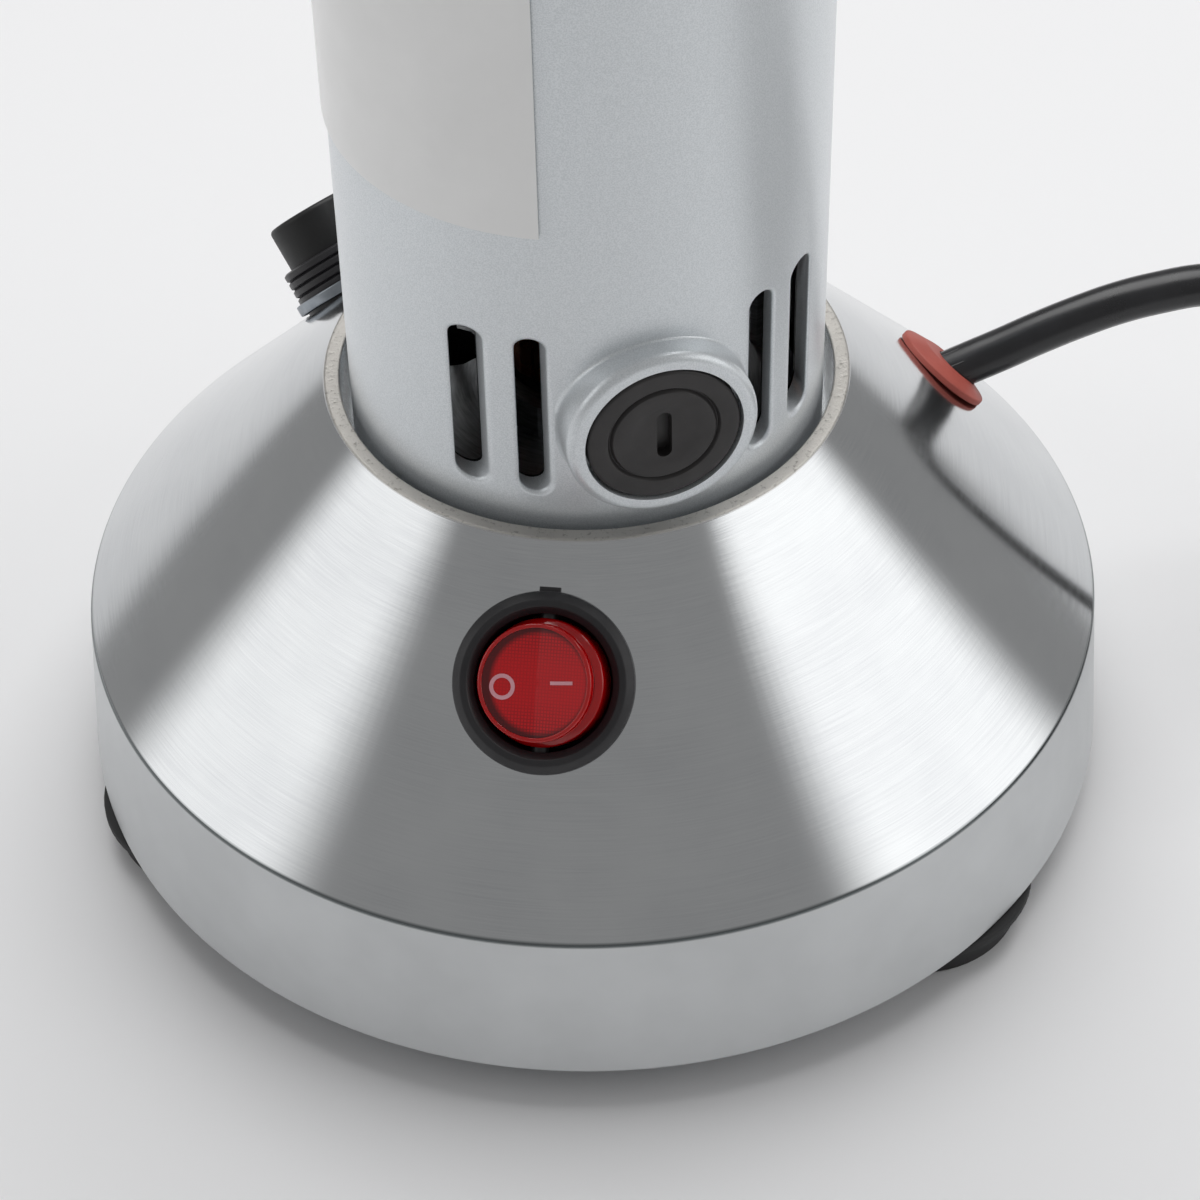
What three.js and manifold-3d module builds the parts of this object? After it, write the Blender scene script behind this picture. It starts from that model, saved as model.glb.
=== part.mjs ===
// Electric spice grinder: a polished cast base with a rocker switch and a reset button,
// a series-wound motor in a silver housing, and a screw-lidded steel grinding bowl on top.
// Millimetres, +Z up. The origin is on the motor axis, on the surface the grinder stands on.
// An azimuth is counted from the switch (-Y) towards +X.
import * as THREE from 'three';
import { mergeVertices } from 'three/addons/utils/BufferGeometryUtils.js';
import Module from 'manifold-3d';

const wasm = await Module();
wasm.setup();

// Clearances and mesh fineness
const fit = { seat: 0.3, overrun: 2, weld: 1e-4 };
const sides = {
  large: 36, plate: 28, medium: 18, small: 12, tiny: 8, wire: 8, coil: 6, lead: 5, spring: 5, arc: 4,
  slotEnd: 2, round: 2, corner: 3, label: 10,
};
const steps = { freeCord: 20, innerCord: 12, plugLead: 6, perLeadPoint: 2, perSpringTurn: 8, perCoilTurn: 24 };

// Driving sizes of the base
const foot = {
  height: 6.5, flangeThickness: 1.5, flangeRadius: 16.2, topRadius: 15.2, bottomRadius: 14.6,
  rimInset: 15.2, firstAzimuth: 57.2, count: 3, counterboreRadius: 4.6, counterboreDepth: 3.4,
};
const footScrew = { radius: 2, headRadius: 3.8, headHeight: 2.6, length: 17, slotWidth: 1, slotDepth: 1.2 };
const base = {
  rimRadius: 71.6, bandDraft: 1.8, bandHeight: 22.9, shoulderRound: 0.9, collarGap: 1.4, collarWidth: 1.9,
  height: 59.7, wall: 3, lipRound: 0.5, shelfDrop: 7.7, shelfThickness: 3.5, shelfReach: 9.7, postRadius: 5,
};
const shoulderRadius = base.rimRadius - base.bandDraft;
const footCircle = base.rimRadius - foot.rimInset;
const shelfTop = base.height - base.shelfDrop;
const plate = { thickness: 2, ventCount: 6, ventRadius: 30, ventLength: 16, ventWidth: 4, ventAzimuth: 12 };

// Driving sizes of what is set in the cone
const rockerSwitch = {
  azimuth: 0, rimInset: 24.5, bezelRadius: 11.5, bezelHeight: 2.2, bezelCrown: 0.4, openingRadius: 8.7,
  barrelRadius: 9.9, barrelDepth: 16, floorThickness: 2, keyWidth: 2.7, keyReach: 0.8, keyHeight: 1.6,
};
const rocker = {
  radius: 7.45, tilt: 11.5, pivotHeight: -0.7, faceHeight: 4.7, skirtDepth: 2, valleyDepth: 0.8,
  pinRadius: 1.1, pinReach: 9.4,
};
const tab = { width: 4.8, thickness: 0.8, length: 8, spread: 5, spacing: 5 };
const breaker = {
  azimuth: -130.8, rimInset: 22.1, neckRadius: 8.2, threadRoot: 7.8, threadPitch: 1.28, neckHeight: 6.4,
  flangeRadius: 10.5, flangeThickness: 2, bodyWidth: 16, bodyLength: 20, bodyDepth: 18,
  bodyWall: 2, nutRadius: 8.9, nutHeight: 1.6, crestShares: [0.4, 0.6],
};
const resetButton = { radius: 6.8, top: 12.8, bottomDepth: 6, edgeRound: 0.5 };
const grommet = {
  azimuth: 120, rimInset: 17.8, flangeRadius: 6.75, flangeHeight: 1.8, neckRadius: 5.6, innerFlange: 1.6,
  edgeRound: 0.6, mouthSink: 1,
};

// Driving sizes of the motor and its housing
const housing = {
  radius: 31.3, wall: 3, flangeThickness: 1.6, slotDrop: 11.2, slotLength: 24.2, slotWidth: 3.4,
  slotAngles: [-43.1, -27.9, 27.9, 43.1], exhaustWidth: 4, exhaustRise: 9, exhaustLength: 10,
  exhaustMargin: 8, exhaustCount: 6,
};
const boss = {
  azimuth: 23.3, collarGap: 3.45, count: 2, radius: 12.25, standOff: 3.4, edgeRound: 1.3, mouthRadius: 10.15,
  mouthDepth: 3.1,
};
const boreRadius = housing.radius + base.collarGap;
const collarRadius = boreRadius + base.collarWidth;
const shelfInnerRadius = boreRadius - base.shelfReach;
const housingInner = housing.radius - housing.wall;
const bossHeight = base.height + boss.radius + boss.collarGap;
const bossReach = housing.radius + boss.standOff;
const brushCap = {
  radius: 9.8, thickness: 3, rimInset: 0.4, grooveRadius: 6.9, grooveWidth: 0.7, grooveDepth: 0.6,
  slotWidth: 1.9, slotLength: 7, slotDepth: 1.6, stemRadius: 6.4, stemLength: 4,
};
const brushHolder = { radius: 9, commutatorGap: 1.9, mouthLength: 7.2 };
const carbonBrush = { width: 6, height: 8, length: 9 };
const brushSpring = { radius: 2.7, wire: 0.35, turns: 4 };
const bracket = {
  thickness: 3.5, hubRadius: 14, hubLip: 1, hubLipRadius: 8.5, windowRadius: 4, windowGap: 1,
  windowAngles: [55, 235], spacerRadius: 2.6, edgeGap: 0.3,
};
const motorBolt = { radius: 1.6, headRadius: 2.8, headHeight: 1.8, rimInset: 2.6, angles: [90, 270], spare: 4 };
const bearing = { bore: 4, outer: 11, width: 7, raceThickness: 1.8, recess: 0.5, shieldInset: 0.4 };
const shaft = { radius: 4, shelfGap: 1, threadRadius: 3, overNut: 1.5 };
const commutator = {
  radius: 11.5, brushDrop: 10.9, length: 19.5, barCount: 12, slitWidth: 0.5, slitDepth: 1, riser: 12.4,
  riserHeight: 2,
};
const commutatorBottom = bossHeight - commutator.brushDrop;
const commutatorTop = commutatorBottom + commutator.length;
const rotorCore = { radius: 16.4, gap: 8, length: 32, slotCount: 8, slotWidth: 3.2, slotDepth: 6 };
const coreBottom = commutatorTop + rotorCore.gap;
const coreTop = coreBottom + rotorCore.length;
const rotorWinding = { innerRadius: 6, outerRadius: 14.4, overhang: 5, barWidth: 2.6 };
const stator = { housingGap: 0.4, airGap: 0.6, yoke: 5.3, poleHalfAngle: 50, poleAzimuth: 23.3 };
const statorRadius = housingInner - stator.housingGap;
const poleRadius = rotorCore.radius + stator.airGap;
const windowRadius = statorRadius - stator.yoke;
const boltCircle = statorRadius - motorBolt.rimInset;
const windowCentre = bracket.hubRadius + bracket.windowRadius + bracket.windowGap;
const fieldCoil = { poleGap: 1, yokeGap: 0.6, legAngle: 15, poleClearAngle: 1, overhang: 5.5 };
const fan = {
  coreGap: 9, hubRadius: 8, housingGap: 4.7, plateThickness: 1.5, bladeHeight: 9, bladeThickness: 1.4,
  bladeCount: 9, bladeStart: 7,
};
const fanBottom = coreTop + fan.coreGap;
const exhaustBottom = fanBottom + housing.exhaustRise;
const housingTop = exhaustBottom + housing.exhaustLength + housing.exhaustMargin;

// Driving sizes of the bowl, the blades and the lid
const seatPlate = {
  plugDepth: 6, plugWall: 3, hubRadius: 14.5, hubDrop: 10.5, flangeRadius: 40, flangeThickness: 4, edgeRound: 1,
  shaftGap: 1,
};
const bowl = {
  radius: 45.5, wall: 1.6, depth: 48, cornerRadius: 6, threadHeight: 0.6, threadPitch: 3, threadCount: 2,
  threadDrop: 5, shaftHole: 6,
};
const bowlScrew = {
  radius: 2, headRadius: 3.8, headHeight: 1.6, length: 6, circle: 22, count: 2, firstAzimuth: 45,
};
const seal = { radius: 9, height: 2.4 };
const blade = {
  hubRadius: 7, spacerRadius: 6, bowlGap: 7.9, width: 11, tipWidth: 6, thickness: 2, lowerHeight: 5.5, rise: 7,
  upperTurn: 90,
};
const bladeNut = { halfFlats: 5, height: 5.5, cornerCount: 6 };
const lid = {
  skirtGap: 0.5, wall: 1.6, skirtDepth: 14, cornerRound: 1.5, gasketOverlap: 1.6, gasketThickness: 2.2,
  gasketInset: 0.4,
};
const knob = {
  radius: 15, neckRadius: 8.5, footRadius: 11, footHeight: 1.3, footTaper: 2.2, height: 22, neckHeight: 7,
  capFlare: 4, shoulder: 2.5, crownRadius: 13, crownDrop: 0.5, boreDepth: 12,
};
const knobScrew = { radius: 2.5, length: 10, headRadius: 4.5, headHeight: 2.4 };

// The bare sticker on the housing
const label = { firstAzimuth: -91.7, lastAzimuth: -1.7, bossRise: 28.9, height: 36.7, thickness: 0.25 };

// The cord, its coil and its plug. The lay is turned about the motor axis by layAzimuth.
const cord = { diameter: 6, layAzimuth: 7.7, heading: 10, exitPitch: 20.8 };
// Along the cord's heading from the middle of the grommet: distance and height above the rim
const cordRun = [
  [4.2, 40.2], [8.6, 41.8], [14.3, 44], [20, 45.9], [25.7, 47.4], [31.4, 48.2], [37, 48.5], [44, 47.6],
  [52, 44.4], [60, 38.9], [68, 31.1], [76, 21], [84, 11.7], [92, 4.8], [100, 0.1], [106, -1.9], [112, -2.5],
];
const coil = { innerRadius: 24.2, pitch: 6.5, turns: 6.25, climbTurns: 0.5, firstDistance: 118 };
// Along the lead to the plug: distance and rise above the coil's upper layer
const leadRun = [[0, 0], [5, 0.5], [9, 1.6], [13, 3.55], [17, 5.5], [21, 6.6], [26, 7.1]];
const tie = { thickness: 0.8, width: 6, clearance: 0.2, azimuth: 200 };
const plug = {
  radius: 17.6, sleeveRadius: 5.4, sleeveEnd: 4.6, sleeveLength: 22, shoulderRadius: 12.7, shoulderLength: 12,
  bodyLength: 26, faceRound: 1.5, notchWidth: 8, notchDepth: 3, flatHalf: 14.5,
};
const plugPin = { radius: 2.4, length: 19, spacing: 19, root: 7, carrierThickness: 3 };
// Along the cord inside the base: where it goes from the grommet to its clamp, about the motor axis
const innerCordRun = [
  [27, 20, 29], [18, 14, 18], [9, 7.5, 9.5], [0.5, 5.4, 6.2], [-6, 5.4, 6.2], [-12, 5.4, 6.2],
];
const cordClamp = { x: -6, y: 5.4, width: 22, length: 9, thickness: 2.4, studSpacing: 16, studRadius: 1.8 };
const wire = { radius: 0.9, coreOffset: 1.35, tipLength: 3.6 };
// Along the leads inside the base and the motor, about the motor axis
const leadRuns = {
  coreToSwitch: [[-17, 0, 7], [-13, -11, 11]],
  coreToMotor: [[-18, 7.5, 10]],
  coreInMotor: [34, 60],
  switchToBreaker: [[-8, -8, 29], [-12, 4, 22]],
  breakerToMotor: [[-6, 8, 31]],
  leadInMotor: [44, 60],
};

const finishes = {
  polishedAluminium: { color: 0xb9bcbe, roughness: 0.28, metalness: 1 },
  castAluminium: { color: 0x9fa3a6, roughness: 0.5, metalness: 1 },
  silverPaint: { color: 0xaeb6b9, roughness: 0.42, metalness: 0.6 },
  stainless: { color: 0xc4c6c8, roughness: 0.22, metalness: 1 },
  zincSteel: { color: 0xa9adb0, roughness: 0.4, metalness: 1 },
  blackPlastic: { color: 0x222124, roughness: 0.45, metalness: 0 },
  phenolic: { color: 0x3a3638, roughness: 0.5, metalness: 0 },
  blackRubber: { color: 0x1b1b1c, roughness: 0.8, metalness: 0 },
  redRubber: { color: 0x9b5048, roughness: 0.6, metalness: 0 },
  redRocker: { color: 0xc5101c, roughness: 0.25, metalness: 0 },
  blackVinyl: { color: 0x17171a, roughness: 0.4, metalness: 0 },
  sticker: { color: 0xc9c9c8, roughness: 0.5, metalness: 0 },
  brass: { color: 0xb08d4a, roughness: 0.35, metalness: 1 },
  copper: { color: 0x9c5a34, roughness: 0.4, metalness: 1 },
  lamination: { color: 0x6a6d70, roughness: 0.55, metalness: 1 },
  carbon: { color: 0x2a2a2c, roughness: 0.7, metalness: 0 },
  silicone: { color: 0xd8d6d0, roughness: 0.6, metalness: 0 },
  wireBrown: { color: 0x5d3a26, roughness: 0.5, metalness: 0 },
};

const radians = THREE.MathUtils.degToRad;

// Solids

// Closed solid from a three.js geometry: vertices merged, slivers dropped, faces turned outwards
function solid(geometry) {
  const bare = geometry.index ? geometry.toNonIndexed() : geometry.clone();
  for (const key of Object.keys(bare.attributes)) {
    if (key !== 'position') bare.deleteAttribute(key);
  }
  const merged = mergeVertices(bare, fit.weld);
  const positions = merged.attributes.position.array;
  const kept = [];
  let volume = 0;
  const corner = [new THREE.Vector3(), new THREE.Vector3(), new THREE.Vector3()];
  for (let i = 0; i < merged.index.count; i += 3) {
    const ids = [0, 1, 2].map((k) => merged.index.getX(i + k));
    if (ids[0] === ids[1] || ids[1] === ids[2] || ids[2] === ids[0]) continue;
    ids.forEach((id, k) => corner[k].fromArray(positions, id * 3));
    volume += corner[0].dot(corner[1].clone().cross(corner[2]));
    kept.push(ids);
  }
  const triangles = kept.flatMap(([a, b, c]) => (volume < 0 ? [a, c, b] : [a, b, c]));
  return new wasm.Manifold(new wasm.Mesh({
    numProp: 3,
    vertProperties: new Float32Array(positions),
    triVerts: new Uint32Array(triangles),
  }));
}

function geometryOf(manifold) {
  const mesh = manifold.getMesh();
  const geometry = new THREE.BufferGeometry();
  geometry.setAttribute('position', new THREE.BufferAttribute(new Float32Array(mesh.vertProperties), 3));
  geometry.setIndex(new THREE.BufferAttribute(new Uint32Array(mesh.triVerts), 1));
  return geometry;
}

const moved = (manifold, matrix) => solid(geometryOf(manifold).applyMatrix4(matrix));
const cut = (body, ...tools) => tools.flat().reduce((left, tool) => left.subtract(tool), body);
const join = (...bodies) => bodies.flat().reduce((sum, body) => sum.add(body));

// Body of revolution about Z from a closed outline of [radius, height] points
function turned(points, segments = sides.medium) {
  const outline = points.map(([radius, z]) => new THREE.Vector2(radius, z));
  outline.push(outline[0].clone());
  const geometry = new THREE.LatheGeometry(outline, segments);
  geometry.rotateX(Math.PI / 2);
  return solid(geometry);
}

const rod = (radius, bottom, top, segments = sides.small) => (
  turned([[0, bottom], [radius, bottom], [radius, top], [0, top]], segments)
);
const ring = (inner, outer, bottom, top, segments = sides.medium) => (
  turned([[inner, bottom], [outer, bottom], [outer, top], [inner, top]], segments)
);

function block(width, depth, height, x = 0, y = 0, z = 0) {
  const geometry = new THREE.BoxGeometry(width, depth, height);
  geometry.translate(x, y, z);
  return solid(geometry);
}

function extruded(shape, bottom, top, curveSegments = sides.arc) {
  const geometry = new THREE.ExtrudeGeometry(shape, { depth: top - bottom, bevelEnabled: false, curveSegments });
  geometry.translate(0, 0, bottom);
  return solid(geometry);
}

// Slot with round ends, its length along Y
function slotShape(width, length) {
  const half = width / 2;
  const straight = length / 2 - half;
  const shape = new THREE.Shape();
  shape.moveTo(half, -straight);
  shape.lineTo(half, straight);
  shape.absarc(0, straight, half, 0, Math.PI, false);
  shape.lineTo(-half, -straight);
  shape.absarc(0, -straight, half, Math.PI, 2 * Math.PI, false);
  return shape;
}

// Sector of a ring, between two azimuths in degrees
function sectorShape(inner, outer, first, last) {
  const start = radians(first) - Math.PI / 2;
  const end = radians(last) - Math.PI / 2;
  const shape = new THREE.Shape();
  shape.absarc(0, 0, outer, start, end, false);
  shape.absarc(0, 0, inner, end, start, true);
  return shape;
}

// Places

const polar = (azimuth, radius, z = 0) => new THREE.Vector3(
  radius * Math.sin(radians(azimuth)), -radius * Math.cos(radians(azimuth)), z);
const shifted = (x, y, z) => new THREE.Matrix4().makeTranslation(x, y, z);
const turnedBy = (azimuth) => new THREE.Matrix4().makeRotationZ(radians(azimuth));
const atPolar = (azimuth, radius, z = 0) => new THREE.Matrix4().setPosition(polar(azimuth, radius, z));

// Frame at a point with +Z along outward and +Y nearest to up
function station(origin, outward, up = new THREE.Vector3(0, 0, 1)) {
  const z = outward.clone().normalize();
  const x = up.clone().cross(z).normalize();
  return new THREE.Matrix4().makeBasis(x, z.clone().cross(x), z).setPosition(origin);
}

// The cone of the base
const coneSlope = (base.height - base.bandHeight) / (shoulderRadius - collarRadius);
const coneAngle = Math.atan(coneSlope);
const coneHeight = (radius) => base.height - (radius - collarRadius) * coneSlope;
const wallDrop = base.wall / Math.cos(coneAngle);
const spotRadius = ({ rimInset }) => base.rimRadius - rimInset;
const coneStation = (spot) => station(
  polar(spot.azimuth, spotRadius(spot), coneHeight(spotRadius(spot))),
  polar(spot.azimuth, Math.sin(coneAngle), Math.cos(coneAngle)));

// Space that the cast base fills below its cone, grown by the seat gap, less a round passage
function coneUnder(matrix, passageRadius) {
  const grown = fit.seat / Math.cos(coneAngle);
  const reach = base.rimRadius;
  const top = coneHeight(boreRadius) + grown;
  const filled = turned([
    [0, 0], [reach, 0], [reach, coneHeight(reach) + grown], [boreRadius, top], [0, top],
  ], sides.large);
  const local = moved(filled, matrix.clone().invert());
  return cut(local, rod(passageRadius, -base.rimRadius, base.rimRadius, sides.medium));
}

// Scene graph
const product = new THREE.Group();
const appliance = new THREE.Group();
appliance.position.z = foot.height;
product.add(appliance);

function piece(name, body, finish, parent = appliance) {
  const geometry = geometryOf(body);
  geometry.computeVertexNormals();
  const mesh = new THREE.Mesh(geometry, new THREE.MeshStandardMaterial({ ...finish, flatShading: true }));
  mesh.name = name;
  parent.add(mesh);
  return mesh;
}

function groupAt(matrix, parent = appliance) {
  const group = new THREE.Group();
  group.applyMatrix4(matrix);
  parent.add(group);
  return group;
}

const range = (count) => Array.from({ length: count }, (_, i) => i);
const footAzimuths = range(foot.count).map((i) => foot.firstAzimuth + i * 360 / foot.count);
const bossAzimuths = range(boss.count).map((i) => boss.azimuth + i * 360 / boss.count);
const brushStation = (azimuth) => station(new THREE.Vector3(0, 0, bossHeight), polar(azimuth, 1));

// Base casting

const switchMatrix = coneStation(rockerSwitch);
const breakerMatrix = coneStation(breaker);
const grommetMatrix = coneStation(grommet);

function baseShell() {
  const { rimRadius, bandHeight, shoulderRound, height, wall } = base;
  const sleeve = boreRadius + wall;
  const shelfBottom = shelfTop - base.shelfThickness;
  const postTop = coneHeight(footCircle) - wallDrop;
  const body = turned([
    [rimRadius - wall, 0], [rimRadius, 0],
    [shoulderRadius + shoulderRound * (rimRadius - shoulderRadius) / bandHeight, bandHeight - shoulderRound],
    [shoulderRadius - shoulderRound, coneHeight(shoulderRadius - shoulderRound)],
    [collarRadius + base.lipRound, coneHeight(collarRadius + base.lipRound)],
    [collarRadius - base.lipRound, height], [boreRadius, height], [boreRadius, shelfTop],
    [shelfInnerRadius, shelfTop], [shelfInnerRadius, shelfBottom], [sleeve, shelfBottom],
    [sleeve, coneHeight(sleeve) - wallDrop],
    [shoulderRadius - wall, coneHeight(shoulderRadius - wall) - wallDrop],
  ], sides.large);
  const posts = footAzimuths.map((azimuth) => moved(
    rod(base.postRadius, plate.thickness + fit.seat * 2, postTop, sides.tiny),
    atPolar(azimuth, footCircle)));
  const postHoles = footAzimuths.map((azimuth) => moved(
    rod(footScrew.radius + fit.seat, 0, footScrew.length - foot.counterboreDepth + fit.overrun, sides.tiny),
    atPolar(azimuth, footCircle)));
  const boltHoles = motorBolt.angles.map((angle) => moved(
    rod(motorBolt.radius + fit.seat, shelfBottom - fit.overrun, shelfTop + fit.overrun),
    atPolar(boss.azimuth + angle, boltCircle)));
  const switchHole = moved(rod(rockerSwitch.barrelRadius + fit.seat,
    -rockerSwitch.barrelDepth - tab.length, rockerSwitch.bezelRadius, sides.medium), switchMatrix);
  const breakerHole = moved(rod(breaker.neckRadius + fit.seat, -wallDrop - fit.overrun,
    breaker.neckHeight, sides.medium), breakerMatrix);
  const breakerSpot = moved(rod(breaker.flangeRadius + fit.seat, -wallDrop * 2 - breaker.flangeThickness,
    -base.wall, sides.medium), breakerMatrix);
  const grommetHole = moved(
    rod(grommet.neckRadius + fit.seat, -wallDrop * 2, grommet.neckRadius), grommetMatrix);
  return cut(join(body, posts), postHoles, boltHoles, switchHole, breakerHole, breakerSpot, grommetHole);
}
piece('base_shell', baseShell(), finishes.polishedAluminium);

function bottomPlate() {
  const edge = base.rimRadius - base.wall - fit.seat;
  const disc = rod(edge, 0, plate.thickness, sides.large);
  const holes = footAzimuths.map((azimuth) => moved(
    rod(footScrew.radius + fit.seat, -fit.overrun, plate.thickness + fit.overrun),
    atPolar(azimuth, footCircle)));
  const vents = range(plate.ventCount).map((i) => moved(
    extruded(slotShape(plate.ventWidth, plate.ventLength),
      -fit.overrun, plate.thickness + fit.overrun, sides.slotEnd),
    atPolar(plate.ventAzimuth + i * 360 / plate.ventCount, plate.ventRadius)));
  const clampHoles = [-1, 1].map((side) => moved(
    rod(cordClamp.studRadius + fit.seat, -fit.overrun, plate.thickness + fit.overrun),
    shifted(cordClamp.x, cordClamp.y + side * cordClamp.studSpacing / 2, 0)));
  return cut(disc, holes, vents, clampHoles);
}
piece('bottom_plate', bottomPlate(), finishes.zincSteel);

function rubberFoot(azimuth) {
  const top = -fit.seat;
  const body = turned([
    [0, -foot.height], [foot.bottomRadius, -foot.height], [foot.topRadius, top - foot.flangeThickness],
    [foot.flangeRadius, top - foot.flangeThickness], [foot.flangeRadius, top], [0, top],
  ], sides.small);
  const bore = rod(footScrew.radius + fit.seat, -foot.height - fit.overrun, fit.overrun);
  const counterbore = rod(
    foot.counterboreRadius, -foot.height - fit.overrun, -foot.height + foot.counterboreDepth);
  return moved(cut(body, bore, counterbore), atPolar(azimuth, footCircle));
}
footAzimuths.forEach((azimuth, i) => piece(`rubber_foot_${i + 1}`, rubberFoot(azimuth), finishes.blackRubber));

// Pan-head screw along +Z with its head below the seat at z = 0, slotted
function screwUp({ radius, headRadius, headHeight, length, slotWidth, slotDepth }) {
  const head = rod(headRadius, -headHeight, 0, sides.small);
  const body = join(head, rod(radius, -headHeight / 2, length, sides.tiny));
  if (!slotWidth) return body;
  return cut(body, block(headRadius * 3, slotWidth, slotDepth * 2, 0, 0, -headHeight));
}
const flipped = new THREE.Matrix4().makeRotationX(Math.PI);
const screwDown = (screw) => moved(screwUp(screw), flipped);
const footScrewSeat = -foot.height + foot.counterboreDepth - fit.seat;
footAzimuths.forEach((azimuth, i) => piece(`foot_screw_${i + 1}`, moved(
  screwUp(footScrew), atPolar(azimuth, footCircle, footScrewSeat)), finishes.zincSteel));

// Rocker switch

const onSwitch = groupAt(switchMatrix);

function switchHousing() {
  const {
    bezelRadius, bezelHeight, bezelCrown, openingRadius, barrelRadius, barrelDepth, floorThickness,
    keyWidth, keyReach, keyHeight,
  } = rockerSwitch;
  const body = turned([
    [0, -barrelDepth], [barrelRadius, -barrelDepth], [barrelRadius, -base.wall], [bezelRadius, -base.wall],
    [bezelRadius, bezelHeight / 2], [bezelRadius - bezelCrown * 2, bezelHeight - bezelCrown / 2],
    [(bezelRadius + openingRadius) / 2, bezelHeight], [openingRadius + bezelCrown, bezelHeight - bezelCrown / 2],
    [openingRadius, bezelHeight - bezelCrown * 2], [openingRadius, -barrelDepth + floorThickness],
    [0, -barrelDepth + floorThickness],
  ]);
  const keyLength = bezelRadius - barrelRadius + keyReach;
  const key = block(keyWidth, keyLength, keyHeight * 2, 0, barrelRadius + keyLength / 2, 0);
  const pinHoles = moved(
    rod(rocker.pinRadius + fit.seat, -rocker.pinReach - fit.seat, rocker.pinReach + fit.seat),
    new THREE.Matrix4().makeRotationX(Math.PI / 2).setPosition(0, 0, rocker.pivotHeight));
  const seated = cut(join(body, key), coneUnder(switchMatrix, barrelRadius), pinHoles);
  const tabs = [-1, 0, 1].map((row) => block(tab.width, tab.thickness, tab.length + floorThickness,
    0, row * tab.spacing, -barrelDepth + (floorThickness - tab.length) / 2));
  return join(seated, tabs);
}
piece('switch_housing', switchHousing(), finishes.blackPlastic, onSwitch);

// The rocker stands with its left half pressed, which is off
function rockerButton() {
  const { radius, faceHeight, skirtDepth, valleyDepth, pinRadius, pinReach } = rocker;
  const body = rod(radius, -skirtDepth, faceHeight, sides.medium);
  const valley = new THREE.Shape([
    new THREE.Vector2(-radius * 2, faceHeight), new THREE.Vector2(-radius, faceHeight),
    new THREE.Vector2(0, faceHeight - valleyDepth), new THREE.Vector2(radius, faceHeight),
    new THREE.Vector2(radius * 2, faceHeight), new THREE.Vector2(radius * 2, faceHeight * 2),
    new THREE.Vector2(-radius * 2, faceHeight * 2),
  ]);
  const alongY = new THREE.Matrix4().makeRotationX(Math.PI / 2);
  const pins = moved(rod(pinRadius, -pinReach, pinReach, sides.tiny), alongY);
  return join(cut(body, moved(extruded(valley, -radius * 2, radius * 2), alongY)), pins);
}
const rockerRest = groupAt(shifted(0, 0, rocker.pivotHeight), onSwitch);
rockerRest.rotateY(-radians(rocker.tilt));
piece('rocker', rockerButton(), finishes.redRocker, rockerRest);

// Overload breaker with its reset button

const onBreaker = groupAt(breakerMatrix);

function breakerBody() {
  const {
    neckRadius, threadRoot, threadPitch, neckHeight, flangeRadius, flangeThickness, crestShares,
  } = breaker;
  const inside = -base.wall - fit.seat;
  const bodyTop = inside - flangeThickness;
  const crests = [];
  const crestCount = Math.round(neckHeight / threadPitch);
  for (let i = crestCount; i > 0; i -= 1) {
    const z = neckHeight - (crestCount - i) * threadPitch;
    crests.push([threadRoot, z], ...crestShares.map((share) => [neckRadius, z - threadPitch * share]));
  }
  const neck = turned([[0, neckHeight], ...crests, [threadRoot, 0], [threadRoot, inside], [flangeRadius, inside],
    [flangeRadius, bodyTop], [0, bodyTop]]);
  const box = block(
    breaker.bodyWidth, breaker.bodyLength, breaker.bodyDepth, 0, 0, bodyTop - breaker.bodyDepth / 2);
  const buttonBore = rod(resetButton.radius + fit.seat, bodyTop - breaker.bodyDepth + breaker.bodyWall,
    neckHeight + fit.overrun);
  const tabs = [-1, 1].map((side) => block(tab.width, tab.thickness, tab.length + breaker.bodyWall / 2,
    0, side * tab.spread, bodyTop - breaker.bodyDepth - tab.length / 2 + breaker.bodyWall / 4));
  return join(cut(join(neck, box), buttonBore), tabs);
}
piece('breaker_body', breakerBody(), finishes.blackPlastic, onBreaker);

const breakerFloor = -base.wall - fit.seat - breaker.flangeThickness - breaker.bodyDepth;

function breakerNut() {
  const { nutRadius, nutHeight, neckRadius } = breaker;
  const blank = ring(neckRadius + fit.seat, nutRadius, -base.wall, nutHeight);
  return cut(blank, coneUnder(breakerMatrix, neckRadius + fit.seat / 2));
}
piece('breaker_nut', breakerNut(), finishes.zincSteel, onBreaker);

function resetCap() {
  const { radius, top, bottomDepth, edgeRound } = resetButton;
  return turned([
    [0, -bottomDepth], [radius, -bottomDepth], [radius, top - edgeRound], [radius - edgeRound, top], [0, top],
  ]);
}
piece('reset_button', resetCap(), finishes.blackPlastic, onBreaker);

// Cord passage

const onGrommet = groupAt(grommetMatrix);
const layTurn = new THREE.Matrix4().makeRotationZ(radians(cord.layAzimuth));
const layAzimuth = cord.layAzimuth;
const headingAzimuth = 90 + cord.heading;
const mouthXY = polar(grommet.azimuth - layAzimuth, spotRadius(grommet));
const headingXY = polar(headingAzimuth, 1);
const alongHeading = ([distance, z]) => mouthXY.clone().addScaledVector(headingXY, distance).setZ(z);
const cordMouth = mouthXY.clone().setZ(coneHeight(spotRadius(grommet)) - grommet.mouthSink);
const exitDirection = headingXY.clone().multiplyScalar(Math.cos(radians(cord.exitPitch)))
  .setZ(Math.sin(radians(cord.exitPitch)));

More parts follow.
